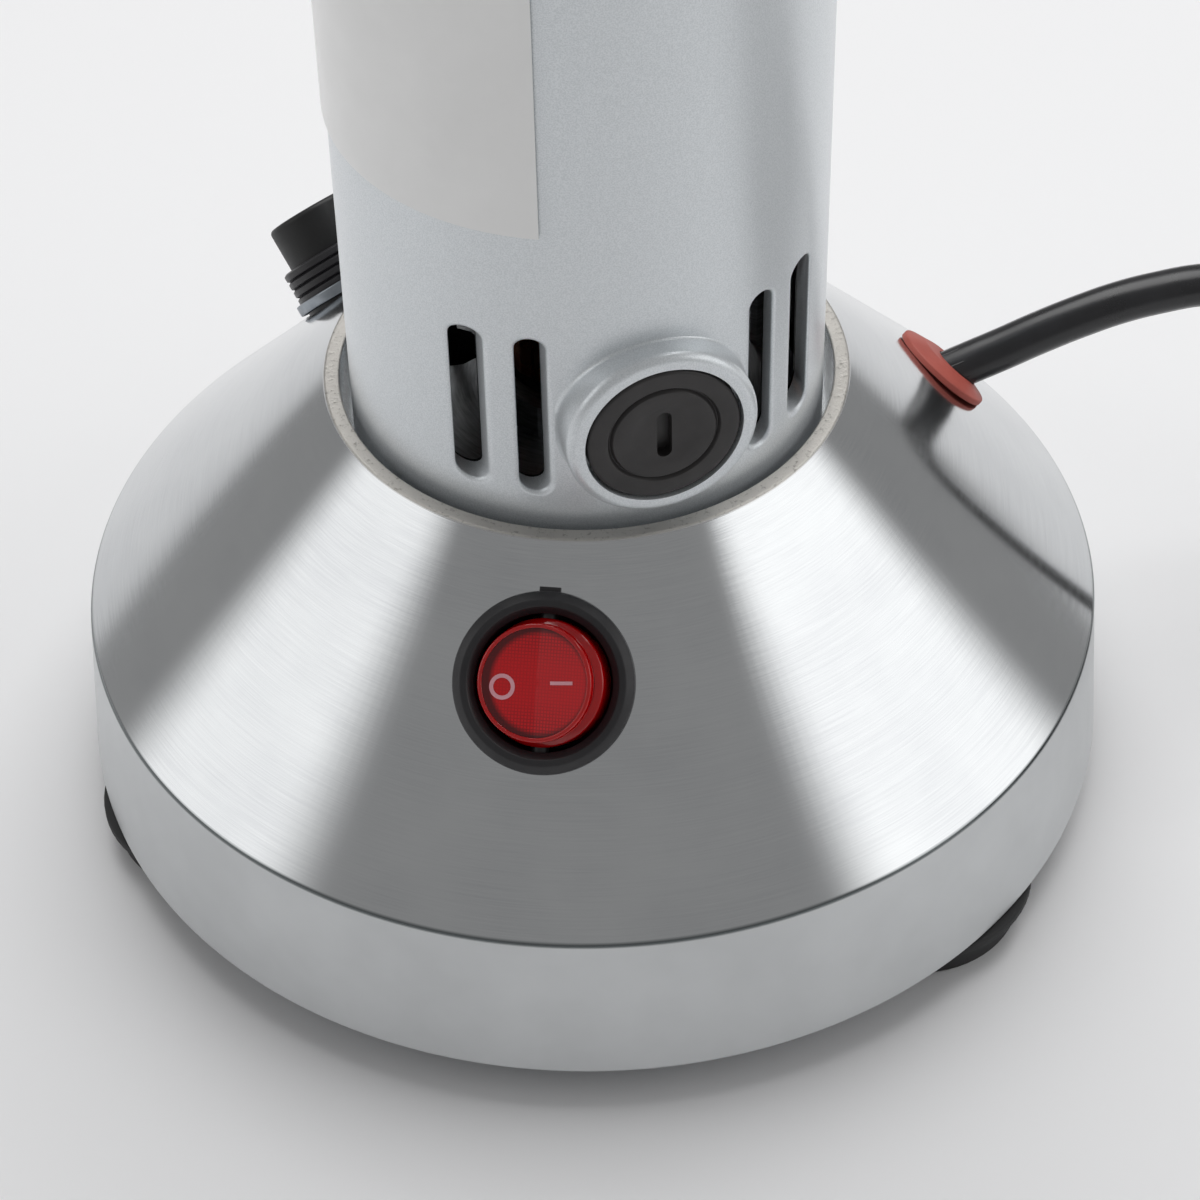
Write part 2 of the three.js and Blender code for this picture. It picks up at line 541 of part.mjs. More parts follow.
function cordGrommet() {
  const { flangeRadius, flangeHeight, neckRadius, innerFlange, edgeRound } = grommet;
  const wallIn = -base.wall - 3 * fit.seat;
  const body = turned([
    [0, wallIn - innerFlange], [flangeRadius, wallIn - innerFlange], [flangeRadius, wallIn],
    [neckRadius, wallIn], [neckRadius, -base.wall / 2], [flangeRadius, -base.wall / 2],
    [flangeRadius, flangeHeight - edgeRound],
    [flangeRadius - edgeRound, flangeHeight], [0, flangeHeight],
  ]);
  const toLocal = grommetMatrix.clone().invert().multiply(layTurn);
  const passage = moved(rod(cord.diameter / 2 + fit.seat, -flangeRadius * 2, flangeRadius * 2),
    toLocal.clone().multiply(station(cordMouth, exitDirection)));
  return cut(body, coneUnder(grommetMatrix, neckRadius), passage);
}
piece('cord_grommet', cordGrommet(), finishes.redRubber, onGrommet);

// Cord outside: its lay is turned with the group

const lay = groupAt(layTurn);

// Tube of a round section along a smooth curve through points, flat at both ends
function tube(points, radius, segments, stepCount) {
  const section = new THREE.Shape();
  section.absarc(0, 0, radius, 0, 2 * Math.PI, false);
  const path = new THREE.CatmullRomCurve3(points, false, 'centripetal');
  const geometry = new THREE.ExtrudeGeometry(section, {
    steps: stepCount, extrudePath: path, curveSegments: segments / 2,
  });
  return solid(geometry);
}
const freeStart = cordMouth.clone().addScaledVector(exitDirection, cordRun[0][0]);
const freePoints = [freeStart, ...cordRun.slice(1).map(alongHeading)];
piece('power_cord', tube(freePoints, cord.diameter / 2, sides.wire, steps.freeCord), finishes.blackVinyl, lay);

// Coil of two layers, wound clockwise: it spirals in on the lower one, climbs in the half turn where it
// reverses, and spirals out again on the upper one
const coilOuter = coil.innerRadius + coil.pitch * coil.turns / 2;
const coilFloor = cordRun[cordRun.length - 1][1];
const towardsCentre = polar(headingAzimuth - 90, 1);
const coilStart = alongHeading([coil.firstDistance, coilFloor]);
const coilCentre = coilStart.clone().addScaledVector(towardsCentre, coilOuter);
const startAngle = Math.atan2(coilStart.y - coilCentre.y, coilStart.x - coilCentre.x);
const smoothStep = (t) => t * t * (3 - 2 * t);

function coilPoint(turn) {
  const half = coil.turns / 2;
  const radius = coil.innerRadius + coil.pitch * Math.abs(turn - half);
  const climb = smoothStep(Math.min(1, Math.max(0, (turn - half) / coil.climbTurns + 0.5)));
  const angle = startAngle - turn * 2 * Math.PI;
  return coilCentre.clone().add(new THREE.Vector3(
    radius * Math.cos(angle), radius * Math.sin(angle), coil.pitch * climb));
}
const coilEndAngle = startAngle - coil.turns * 2 * Math.PI;
const leadHeading = new THREE.Vector3(Math.sin(coilEndAngle), -Math.cos(coilEndAngle), 0);
const coilSteps = Math.round(coil.turns * steps.perCoilTurn);
const coilEnd = coilPoint(coil.turns);
const coilPoints = [
  coilStart.clone().addScaledVector(headingXY, -cord.diameter + fit.seat),
  ...range(coilSteps + 1).map((i) => coilPoint(i * coil.turns / coilSteps)),
  coilEnd.clone().addScaledVector(leadHeading, cord.diameter),
];

// Unbroken tube swept through points, its section carried along without twist
function sweptTube(points, radius, segments) {
  const tangents = points.map((point, i) => {
    const before = points[Math.max(0, i - 1)];
    const after = points[Math.min(points.length - 1, i + 1)];
    return after.clone().sub(before).normalize();
  });
  const up = new THREE.Vector3(0, 0, 1);
  const positions = [];
  const index = [];
  points.forEach((point, i) => {
    const side = tangents[i].clone().cross(up).normalize();
    const top = side.clone().cross(tangents[i]);
    range(segments).forEach((k) => {
      const angle = 2 * Math.PI * (k + 0.5) / segments;
      const corner = point.clone().addScaledVector(side, radius * Math.cos(angle))
        .addScaledVector(top, radius * Math.sin(angle));
      positions.push(...corner.toArray());
      if (i === 0) return;
      const here = i * segments + k;
      const next = i * segments + (k + 1) % segments;
      index.push(here - segments, next - segments, here, here, next - segments, next);
    });
  });
  const lastRing = (points.length - 1) * segments;
  range(segments - 2).forEach((k) => {
    index.push(0, k + 2, k + 1, lastRing, lastRing + k + 1, lastRing + k + 2);
  });
  const geometry = new THREE.BufferGeometry();
  geometry.setAttribute('position', new THREE.Float32BufferAttribute(positions, 3));
  geometry.setIndex(index);
  return geometry;
}

// Least gap of the tube to itself, between points at least a third of a turn apart along it
function leastGap(points, radius, stepsApart) {
  let least = Infinity;
  points.forEach((a, i) => {
    points.slice(i + stepsApart).forEach((b) => {
      least = Math.min(least, a.distanceTo(b) - 2 * radius);
    });
  });
  return least;
}
piece('power_cord_coil', solid(sweptTube(coilPoints, cord.diameter / 2, sides.coil)), finishes.blackVinyl, lay);
const coilGap = leastGap(coilPoints, cord.diameter / 2, steps.perCoilTurn / 3);
console.log(`coil: least gap to itself ${coilGap.toFixed(2)} mm`);

// Tie: a flat band round the coil's turns, its underside on the surface
function coilTie() {
  const inner = coil.innerRadius - cord.diameter / 2 - tie.clearance - tie.thickness;
  const outer = coilOuter + cord.diameter / 2 + tie.clearance + tie.thickness;
  const bottom = -foot.height;
  const top = coilFloor + coil.pitch + cord.diameter / 2 + tie.clearance + tie.thickness;
  const middle = (inner + outer) / 2;
  const height = (bottom + top) / 2;
  const outside = block(outer - inner, tie.width, top - bottom, middle, 0, height);
  const inside = block(
    outer - inner - 2 * tie.thickness, tie.width * 2, top - bottom - 2 * tie.thickness, middle, 0, height);
  const place = turnedBy(tie.azimuth).setPosition(coilCentre.x, coilCentre.y, 0);
  return moved(cut(outside, inside), place);
}
piece('coil_tie', coilTie(), finishes.blackPlastic, lay);

const leadStart = coilEnd.clone().addScaledVector(leadHeading, cord.diameter + fit.seat);
const leadPoints = leadRun.map(([distance, rise]) => (
  leadStart.clone().addScaledVector(leadHeading, distance).add(new THREE.Vector3(0, 0, rise))));
piece('plug_lead', tube(leadPoints, cord.diameter / 2, sides.wire, steps.plugLead), finishes.blackVinyl, lay);

// Two-pin plug lying on its side, its axis along the lead
const plugOrigin = leadPoints[leadPoints.length - 1].clone().addScaledVector(leadHeading, fit.seat);
const onPlug = groupAt(station(plugOrigin, leadHeading), lay);

const plugFace = plug.sleeveLength + plug.shoulderLength + plug.bodyLength;

// Insert that holds the two pins inside the plug, grown by a gap for the space it lies in
function pinCarrier(gap) {
  const { spacing, radius, root, carrierThickness } = plugPin;
  return block(2 * (radius + gap), spacing + 2 * (radius + gap), carrierThickness + 2 * gap,
    0, 0, plugFace - root + carrierThickness / 2);
}

function plugBody() {
  const { radius, sleeveRadius, sleeveEnd, sleeveLength, shoulderLength, bodyLength, faceRound } = plug;
  const neck = sleeveLength + shoulderLength;
  const face = neck + bodyLength;
  const body = turned([
    [0, 0], [sleeveEnd, 0], [sleeveRadius, sleeveLength], [plug.shoulderRadius, neck - shoulderLength / 4],
    [radius, neck + shoulderLength / 4], [radius, face - faceRound], [radius - faceRound, face], [0, face],
  ]);
  const notches = [-1, 1].map((side) => block(plug.notchDepth * 2, plug.notchWidth, bodyLength,
    side * radius, 0, face - bodyLength / 2 + shoulderLength / 2));
  const flat = plug.flatHalf;
  const flats = [-1, 1].map((side) => block(radius * 2, radius, neck,
    0, side * (flat + radius / 2), neck / 2));
  const pinHoles = [-1, 1].map((side) => moved(
    rod(plugPin.radius + fit.seat, face - plugPin.root - fit.seat, face + fit.overrun),
    shifted(0, side * plugPin.spacing / 2, 0)));
  return cut(body, notches, flats, pinHoles, pinCarrier(fit.seat));
}
piece('plug_body', plugBody(), finishes.blackVinyl, onPlug);

const plugPinShape = turned([
  [0, plugFace - plugPin.root], [plugPin.radius, plugFace - plugPin.root],
  [plugPin.radius, plugFace + plugPin.length - plugPin.radius / 2],
  [plugPin.radius / 2, plugFace + plugPin.length], [0, plugFace + plugPin.length],
], sides.small);
piece('plug_pins', join(pinCarrier(0), [-1, 1].map((side) => moved(
  plugPinShape, shifted(0, side * plugPin.spacing / 2, 0)))), finishes.brass, onPlug);

// Cord and leads inside the base

const mouthInside = (distance) => (
  cordMouth.clone().addScaledVector(exitDirection, distance).applyMatrix4(layTurn));

// Saddle over the cord, pushed into the bottom plate by two studs
function clampSaddle() {
  const { x, y, width, length, thickness, studSpacing, studRadius } = cordClamp;
  const cordZ = innerCordRun[innerCordRun.length - 1][2];
  const bottom = plate.thickness + fit.seat;
  const bore = cord.diameter / 2 + fit.seat;
  const top = cordZ + bore + thickness;
  const ears = block(length, width, thickness, 0, 0, bottom + thickness / 2);
  const arch = block(length, 2 * (bore + thickness), top - bottom, 0, 0, (top + bottom) / 2);
  const channel = block(length * 2, 2 * bore, cordZ, 0, 0, cordZ / 2);
  const round = moved(
    rod(bore, -length, length), new THREE.Matrix4().makeRotationY(Math.PI / 2).setPosition(0, 0, cordZ));
  const studs = [-1, 1].map((side) => moved(
    rod(studRadius, 0, bottom + thickness / 2), shifted(0, side * studSpacing / 2, 0)));
  return moved(join(cut(join(ears, arch), channel, round), studs), shifted(x, y, 0));
}
piece('cord_clamp', clampSaddle(), finishes.blackPlastic);

const tabTip = (matrix, y, depth) => [fit.seat * 2, wire.tipLength].map((beyond) => (
  new THREE.Vector3(0, y, -depth - tab.length - beyond).applyMatrix4(matrix)));
const switchTip = (row) => tabTip(switchMatrix, row * tab.spacing, rockerSwitch.barrelDepth);
const breakerTip = (side) => tabTip(breakerMatrix, side * tab.spread, -breakerFloor);
const cordTail = new THREE.Vector3(...innerCordRun[innerCordRun.length - 1]);
const throughWindow = (angle, heights) => [...heights, coilBottom].map((z) => (
  polar(boss.azimuth + angle, windowCentre, z)));
const coilBottom = coreBottom - fieldCoil.overhang - fit.seat;
const lead = (points) => tube(points, wire.radius, sides.lead, points.length * steps.perLeadPoint);
const along = (run) => run.map((point) => new THREE.Vector3(...point));
const coreEnds = (side) => [1, -1].map((end) => (
  cordTail.clone().add(new THREE.Vector3(end * cord.diameter / 2, side * wire.coreOffset, 0))));
const coreToSwitch = lead([...coreEnds(-1), ...along(leadRuns.coreToSwitch), ...switchTip(-1).reverse()]);
const coreToMotor = lead([
  ...coreEnds(1), ...along(leadRuns.coreToMotor),
  ...throughWindow(bracket.windowAngles[1], leadRuns.coreInMotor),
]);
const innerCordPoints = [
  mouthInside(cordRun[0][0] - fit.seat), mouthInside(0), mouthInside(-cord.diameter),
  ...along(innerCordRun),
];
piece('inner_cord', join(
  tube(innerCordPoints, cord.diameter / 2, sides.wire, steps.innerCord), coreToSwitch, coreToMotor),
  finishes.blackVinyl);

piece('switch_lead', lead([
  ...switchTip(1), ...along(leadRuns.switchToBreaker), ...breakerTip(-1).reverse(),
]), finishes.wireBrown);
piece('motor_lead', lead([
  ...breakerTip(1), ...along(leadRuns.breakerToMotor),
  ...throughWindow(bracket.windowAngles[0], leadRuns.leadInMotor),
]), finishes.wireBrown);

// Motor housing

const housingBottom = shelfTop + fit.seat;

function motorHousing() {
  const { radius, flangeThickness, slotLength, exhaustLength } = housing;
  const top = housingTop;
  const shell = turned([
    [shelfInnerRadius, housingBottom], [radius, housingBottom], [radius, top], [housingInner, top],
    [housingInner, housingBottom + flangeThickness], [shelfInnerRadius, housingBottom + flangeThickness],
  ], sides.large);
  const bossOutline = [
    [0, housingInner / 2], [boss.radius, housingInner / 2], [boss.radius, bossReach - boss.edgeRound],
  ];
  range(sides.round).forEach((i) => {
    const turn = (i + 1) * Math.PI / 2 / sides.round;
    bossOutline.push([boss.radius - boss.edgeRound * (1 - Math.cos(turn)),
      bossReach - boss.edgeRound * (1 - Math.sin(turn))]);
  });
  bossOutline.push([0, bossReach]);
  const inside = rod(housingInner, housingBottom, top, sides.large);
  const bosses = bossAzimuths.map((azimuth) => cut(moved(turned(bossOutline), brushStation(azimuth)), inside));
  const holderBore = rod(
    brushHolder.radius + fit.seat, housingInner / 2, bossReach + fit.overrun, sides.medium);
  const mouth = rod(boss.mouthRadius, bossReach - boss.mouthDepth, bossReach + fit.overrun, sides.medium);
  const bores = bossAzimuths.flatMap((azimuth) => (
    [holderBore, mouth].map((bore) => moved(bore, brushStation(azimuth)))));
  const through = [housingInner - fit.overrun, radius + boss.edgeRound * 3];
  // The slots beside a boss run inwards side by side, as the die pulls out of them
  const slotMiddle = bossHeight - housing.slotDrop + slotLength / 2;
  const slots = bossAzimuths.flatMap((azimuth) => housing.slotAngles.map((angle) => moved(
    extruded(slotShape(housing.slotWidth, slotLength), 0, radius, sides.slotEnd),
    station(polar(azimuth + 90, radius * Math.sin(radians(angle)), slotMiddle), polar(azimuth, 1)))));
  const exhaustMiddle = new THREE.Vector3(0, 0, exhaustBottom + exhaustLength / 2);
  const exhausts = range(housing.exhaustCount).map((i) => moved(
    extruded(slotShape(housing.exhaustWidth, exhaustLength), ...through, sides.slotEnd),
    station(exhaustMiddle, polar(boss.azimuth + (i + 0.5) * 360 / housing.exhaustCount, 1))));
  const flangeHoles = motorBolt.angles.map((angle) => moved(
    rod(motorBolt.radius + fit.seat, housingBottom - fit.overrun, housingBottom + flangeThickness + fit.overrun),
    atPolar(boss.azimuth + angle, boltCircle)));
  return cut(join(shell, bosses), bores, slots, exhausts, flangeHoles);
}
piece('motor_housing', motorHousing(), finishes.silverPaint);

const labelInner = housing.radius + fit.seat;
const labelBottom = bossHeight + label.bossRise;
piece('rating_label', extruded(
  sectorShape(labelInner, labelInner + label.thickness, label.firstAzimuth, label.lastAzimuth),
  labelBottom, labelBottom + label.height, sides.label), finishes.sticker);

// Lower bearing bracket with the stator's two spacers

const bracketBottom = housingBottom + housing.flangeThickness + fit.seat;
const bracketTop = bracketBottom + bracket.thickness;
const bearingSeat = bearing.outer + fit.seat;
const lowerBearingBottom = bracketBottom + bracket.hubLip + fit.seat;

function lowerBracket() {
  const hubTop = lowerBearingBottom + bearing.width;
  const edge = housingInner - bracket.edgeGap;
  const body = turned([
    [bracket.hubLipRadius, bracketBottom], [edge, bracketBottom], [edge, bracketTop],
    [bracket.hubRadius, bracketTop], [bracket.hubRadius, hubTop], [bearingSeat, hubTop],
    [bearingSeat, bracketBottom + bracket.hubLip],
    [bracket.hubLipRadius, bracketBottom + bracket.hubLip],
  ]);
  const spacers = motorBolt.angles.map((angle) => moved(
    rod(bracket.spacerRadius, bracketBottom, coreBottom - fit.seat),
    atPolar(boss.azimuth + angle, boltCircle)));
  const holes = motorBolt.angles.map((angle) => moved(
    rod(motorBolt.radius + fit.seat, bracketBottom - fit.overrun, coreBottom, sides.tiny),
    atPolar(boss.azimuth + angle, boltCircle)));
  const windows = bracket.windowAngles.map((angle) => moved(
    rod(bracket.windowRadius, bracketBottom - fit.overrun, bracketTop + fit.overrun),
    atPolar(boss.azimuth + angle, windowCentre)));
  return cut(join(body, spacers), windows, holes);
}
piece('lower_bracket', lowerBracket(), finishes.castAluminium);

// Shielded ball bearing as one bought-in unit, its shields set in a little at both faces
function bearingUnit(bottom) {
  const top = bottom + bearing.width;
  const bore = bearing.bore + fit.seat;
  const splitInner = bore + bearing.raceThickness;
  const splitOuter = bearing.outer - bearing.raceThickness;
  const { shieldInset } = bearing;
  return turned([
    [bore, bottom], [splitInner, bottom], [splitInner, bottom + shieldInset], [splitOuter, bottom + shieldInset],
    [splitOuter, bottom], [bearing.outer, bottom], [bearing.outer, top], [splitOuter, top],
    [splitOuter, top - shieldInset], [splitInner, top - shieldInset], [splitInner, top], [bore, top],
  ], sides.small);
}
piece('lower_bearing', bearingUnit(lowerBearingBottom), finishes.zincSteel);

// Stator, its coils and its bolts

function statorCore() {
  const { poleHalfAngle, poleAzimuth } = stator;
  const body = ring(poleRadius, statorRadius, coreBottom, coreTop);
  const windows = [0, 180].map((turn) => extruded(
    sectorShape(poleRadius - fit.overrun, windowRadius, poleAzimuth + turn + poleHalfAngle,
      poleAzimuth + turn + 180 - poleHalfAngle), coreBottom - fit.overrun, coreTop + fit.overrun));
  const holes = motorBolt.angles.map((angle) => moved(
    rod(motorBolt.radius + fit.seat, coreBottom - fit.overrun, coreTop + fit.overrun),
    atPolar(boss.azimuth + angle, boltCircle)));
  return cut(body, windows, holes);
}
piece('stator_core', statorCore(), finishes.lamination);

function fieldCoilBody(turn) {
  const { legAngle, overhang } = fieldCoil;
  const inner = stator.poleHalfAngle + fieldCoil.poleClearAngle;
  const outer = inner + legAngle;
  const bottom = coreBottom - overhang;
  const top = coreTop + overhang;
  const middle = stator.poleAzimuth + turn;
  const sector = (first, last, from, to) => extruded(
    sectorShape(poleRadius + fieldCoil.poleGap, windowRadius - fieldCoil.yokeGap, middle + first, middle + last),
    from, to);
  return join(
    sector(inner, outer, bottom, top), sector(-outer, -inner, bottom, top),
    sector(-outer, outer, bottom, coreBottom - fit.seat),
    sector(-outer, outer, coreTop + fit.seat, top));
}
[0, 180].forEach((turn, i) => piece(`field_coil_${i + 1}`, fieldCoilBody(turn), finishes.copper));

// Two long bolts hold the base's shelf, the housing, the bracket and the stator together
const boltSeat = shelfTop - base.shelfThickness - fit.seat;
motorBolt.angles.forEach((angle, i) => piece(`motor_bolt_${i + 1}`, moved(
  screwUp({ ...motorBolt, length: coreTop - boltSeat + motorBolt.spare }),
  atPolar(boss.azimuth + angle, boltCircle, boltSeat)), finishes.zincSteel));

// Rotor

const bowlFloor = housingTop + seatPlate.flangeThickness + 2 * fit.seat + bowl.wall;
const bladeSeat = bowlFloor + blade.lowerHeight;
const upperSeat = bladeSeat + blade.rise;
const nutBottom = upperSeat + blade.thickness + fit.seat;
const shaftBottom = shelfTop + shaft.shelfGap;
const shaftTop = nutBottom + bladeNut.height + shaft.overNut;
piece('motor_shaft', turned([
  [0, shaftBottom], [shaft.radius, shaftBottom], [shaft.radius, bladeSeat - fit.seat],
  [shaft.threadRadius, bladeSeat - fit.seat], [shaft.threadRadius, shaftTop], [0, shaftTop],
], sides.small), finishes.stainless);

function commutatorBody() {
  const { radius, barCount, slitWidth, slitDepth, riser, riserHeight } = commutator;
  const [bottom, top] = [commutatorBottom, commutatorTop];
  const bore = shaft.radius + fit.seat;
  const body = turned([[bore, bottom], [radius, bottom], [radius, top - riserHeight], [riser, top - riserHeight],
    [riser, top], [bore, top]]);
  const slits = range(barCount).map((i) => moved(
    block(slitWidth, slitDepth * 2 + fit.overrun, commutator.length * 2,
      0, radius + fit.overrun / 2, (top + bottom) / 2),
    turnedBy(i * 360 / barCount)));
  return cut(body, slits);
}
piece('commutator', commutatorBody(), finishes.copper);

function rotorCoreBody() {
  const { radius, slotCount, slotWidth, slotDepth } = rotorCore;
  const body = ring(shaft.radius + fit.seat, radius, coreBottom, coreTop);
  const cuts = range(slotCount).map((i) => moved(
    block(slotWidth, slotDepth + fit.overrun, rotorCore.length * 2,
      0, radius - (slotDepth - fit.overrun) / 2, (coreTop + coreBottom) / 2),
    turnedBy(i * 360 / slotCount)));
  return cut(body, cuts);
}
piece('rotor_core', rotorCoreBody(), finishes.lamination);

function rotorWindingBody() {
  const { innerRadius, outerRadius, overhang, barWidth } = rotorWinding;
  const { slotCount, radius, slotDepth } = rotorCore;
  const [bottom, top] = [coreBottom, coreTop];
  const ends = [
    ring(innerRadius, outerRadius, bottom - overhang, bottom - fit.seat),
    ring(innerRadius, outerRadius, top + fit.seat, top + overhang),
  ];
  const barInner = radius - slotDepth + fit.seat;
  const bars = range(slotCount).map((i) => moved(
    block(barWidth, outerRadius - barInner - fit.seat, top - bottom + overhang,
      0, (outerRadius + barInner) / 2, (top + bottom) / 2),
    turnedBy(i * 360 / slotCount)));
  return join(ends, bars);
}
piece('rotor_winding', rotorWindingBody(), finishes.copper);

function fanBody() {
  const { hubRadius, plateThickness, bladeHeight, bladeThickness, bladeCount, bladeStart } = fan;
  const plateRadius = housingInner - fan.housingGap;
  const bottom = fanBottom;
  const bore = shaft.radius + fit.seat;
  const body = turned([[bore, bottom], [plateRadius, bottom], [plateRadius, bottom + plateThickness],
    [hubRadius, bottom + plateThickness], [hubRadius, bottom + plateThickness + bladeHeight],
    [bore, bottom + plateThickness + bladeHeight]]);
  const reach = plateRadius - bladeStart;
  const vanes = range(bladeCount).map((i) => moved(
    block(bladeThickness, reach, bladeHeight + plateThickness / 2, 0, bladeStart + reach / 2 - bladeThickness,
      bottom + plateThickness / 2 + (bladeHeight + plateThickness / 2) / 2), turnedBy(i * 360 / bladeCount)));
  return join(body, vanes);
}
piece('cooling_fan', fanBody(), finishes.blackPlastic);

// Brush gear: in each group +Z points out along the brush

function helixPoints(radius, bottom, top, turns, stepsPerTurn) {
  const steps = turns * stepsPerTurn;
  return range(steps + 1).map((i) => {
    const angle = i * 2 * Math.PI / stepsPerTurn;
    const z = bottom + (top - bottom) * i / steps;
    return new THREE.Vector3(radius * Math.cos(angle), radius * Math.sin(angle), z);
  });
}

function addBrushGear(azimuth, number) {
  const group = groupAt(brushStation(azimuth));
  const capBack = bossReach - boss.mouthDepth;
  const innerReach = commutator.radius + brushHolder.commutatorGap;
  const mouthStart = capBack - brushHolder.mouthLength;
  const holderEnd = capBack - fit.seat;
  const holder = cut(
    rod(brushHolder.radius, innerReach, holderEnd, sides.medium),
    block(carbonBrush.width + 2 * fit.seat, carbonBrush.height + 2 * fit.seat, holderEnd * 2, 0, 0, 0),
    rod(brushCap.stemRadius + fit.seat, mouthStart, holderEnd + fit.overrun));
  piece(`brush_holder_${number}`, holder, finishes.phenolic, group);

  const brushStart = commutator.radius + fit.seat;
  const brushEnd = brushStart + carbonBrush.length;
  piece(`carbon_brush_${number}`, block(carbonBrush.width, carbonBrush.height, carbonBrush.length,
    0, 0, (brushStart + brushEnd) / 2), finishes.carbon, group);

  const capStemEnd = capBack - brushCap.stemLength;
  const springLift = brushSpring.wire + fit.seat;
  piece(`brush_spring_${number}`, solid(sweptTube(
    helixPoints(brushSpring.radius, brushEnd + springLift, capStemEnd - springLift, brushSpring.turns,
      steps.perSpringTurn), brushSpring.wire, sides.spring)), finishes.zincSteel, group);

  const { radius, thickness, rimInset, grooveRadius, grooveWidth, grooveDepth, stemRadius } = brushCap;
  const face = capBack + thickness;
  const cap = cut(
    turned([[0, capStemEnd], [stemRadius, capStemEnd], [stemRadius, capBack], [radius, capBack],
      [radius, face - rimInset], [radius - rimInset, face], [0, face]]),
    ring(grooveRadius - grooveWidth / 2, grooveRadius + grooveWidth / 2, face - grooveDepth, face + fit.overrun),
    block(brushCap.slotWidth, brushCap.slotLength, brushCap.slotDepth * 2, 0, 0, face));
  piece(`brush_cap_${number}`, cap, finishes.phenolic, group);
}
bossAzimuths.forEach((azimuth, i) => addBrushGear(azimuth, i + 1));

// Seat plate that closes the housing and carries the upper bearing and the bowl

const seatBottom = housingTop + fit.seat;
const seatTop = seatBottom + seatPlate.flangeThickness;
const bowlScrewSpots = range(bowlScrew.count).map((i) => (
  atPolar(bowlScrew.firstAzimuth + i * 360 / bowlScrew.count, bowlScrew.circle)));

function seatPlateBody() {
  const { plugDepth, plugWall, hubRadius, hubDrop, flangeRadius, edgeRound, shaftGap } = seatPlate;
  const plugOuter = housingInner - fit.seat;
  const hubBottom = seatBottom - hubDrop;
  const bearingTop = hubBottom + bearing.recess * 2 + bearing.width;
  const body = turned([
    [bearingSeat, hubBottom], [hubRadius, hubBottom], [hubRadius, seatBottom],
    [plugOuter - plugWall, seatBottom], [plugOuter - plugWall, seatBottom - plugDepth],
    [plugOuter, seatBottom - plugDepth], [plugOuter, seatBottom],
    [flangeRadius, seatBottom], [flangeRadius, seatTop - edgeRound], [flangeRadius - edgeRound, seatTop],
    [shaft.radius + shaftGap, seatTop], [shaft.radius + shaftGap, bearingTop], [bearingSeat, bearingTop],
  ], sides.plate);
  const threads = bowlScrewSpots.map((matrix) => moved(
    rod(bowlScrew.radius + fit.seat, seatBottom - fit.overrun, seatTop + fit.overrun), matrix));
  return cut(body, threads);
}
piece('seat_plate', seatPlateBody(), finishes.castAluminium);
piece('upper_bearing', bearingUnit(seatBottom - seatPlate.hubDrop + bearing.recess), finishes.zincSteel);

// Grinding bowl

const bowlBottom = seatTop + fit.seat;
const bowlRim = bowlFloor + bowl.depth;
const bowlInner = bowl.radius - bowl.wall;
const threadRadius = bowl.radius + bowl.threadHeight;

function cornerArc(radius, centreRadius, centreHeight, from, to, steps) {
  return range(steps + 1).map((i) => {
    const angle = radians(from + (to - from) * i / steps);
    return [centreRadius + radius * Math.cos(angle), centreHeight + radius * Math.sin(angle)];
  });
}

function bowlBody() {
  const { radius, wall, cornerRadius, threadPitch, threadCount, threadDrop, shaftHole } = bowl;
  const cornerCentre = radius - cornerRadius;
  const cornerHeight = bowlBottom + cornerRadius;
  const ridges = range(threadCount).reverse().flatMap((i) => {
    const z = bowlRim - threadDrop - i * threadPitch;
    return [[radius, z - threadPitch / 3], [threadRadius, z], [radius, z + threadPitch / 3]];
  });
  const outside = cornerArc(cornerRadius, cornerCentre, cornerHeight, -90, 0, sides.corner);
  const inside = cornerArc(cornerRadius - wall, cornerCentre, cornerHeight, 0, -90, sides.corner);
  const body = turned([
    [shaftHole, bowlBottom], ...outside, ...ridges, [radius, bowlRim], [bowlInner, bowlRim], ...inside,
    [shaftHole, bowlFloor],
  ], sides.plate);
  const holes = bowlScrewSpots.map((matrix) => moved(
    rod(bowlScrew.radius + fit.seat, bowlBottom - fit.overrun, bowlFloor + fit.overrun), matrix));
  return cut(body, holes);
}
piece('grinding_bowl', bowlBody(), finishes.stainless);

bowlScrewSpots.forEach((matrix, i) => piece(`bowl_screw_${i + 1}`, moved(
  screwDown(bowlScrew), matrix.clone().multiply(shifted(0, 0, bowlFloor + fit.seat))), finishes.stainless));

piece('shaft_seal', turned([
  [shaft.radius + fit.seat, bowlFloor - bowl.wall], [bowl.shaftHole - fit.seat, bowlFloor - bowl.wall],
  [bowl.shaftHole - fit.seat, bowlFloor + fit.seat], [seal.radius, bowlFloor + fit.seat],
  [seal.radius - seal.height / 2, bowlFloor + seal.height], [shaft.radius + fit.seat, bowlFloor + seal.height],
], sides.medium), finishes.blackRubber);

// Blades: two crossed bars with tapered ends, a spacer between them and a nut above

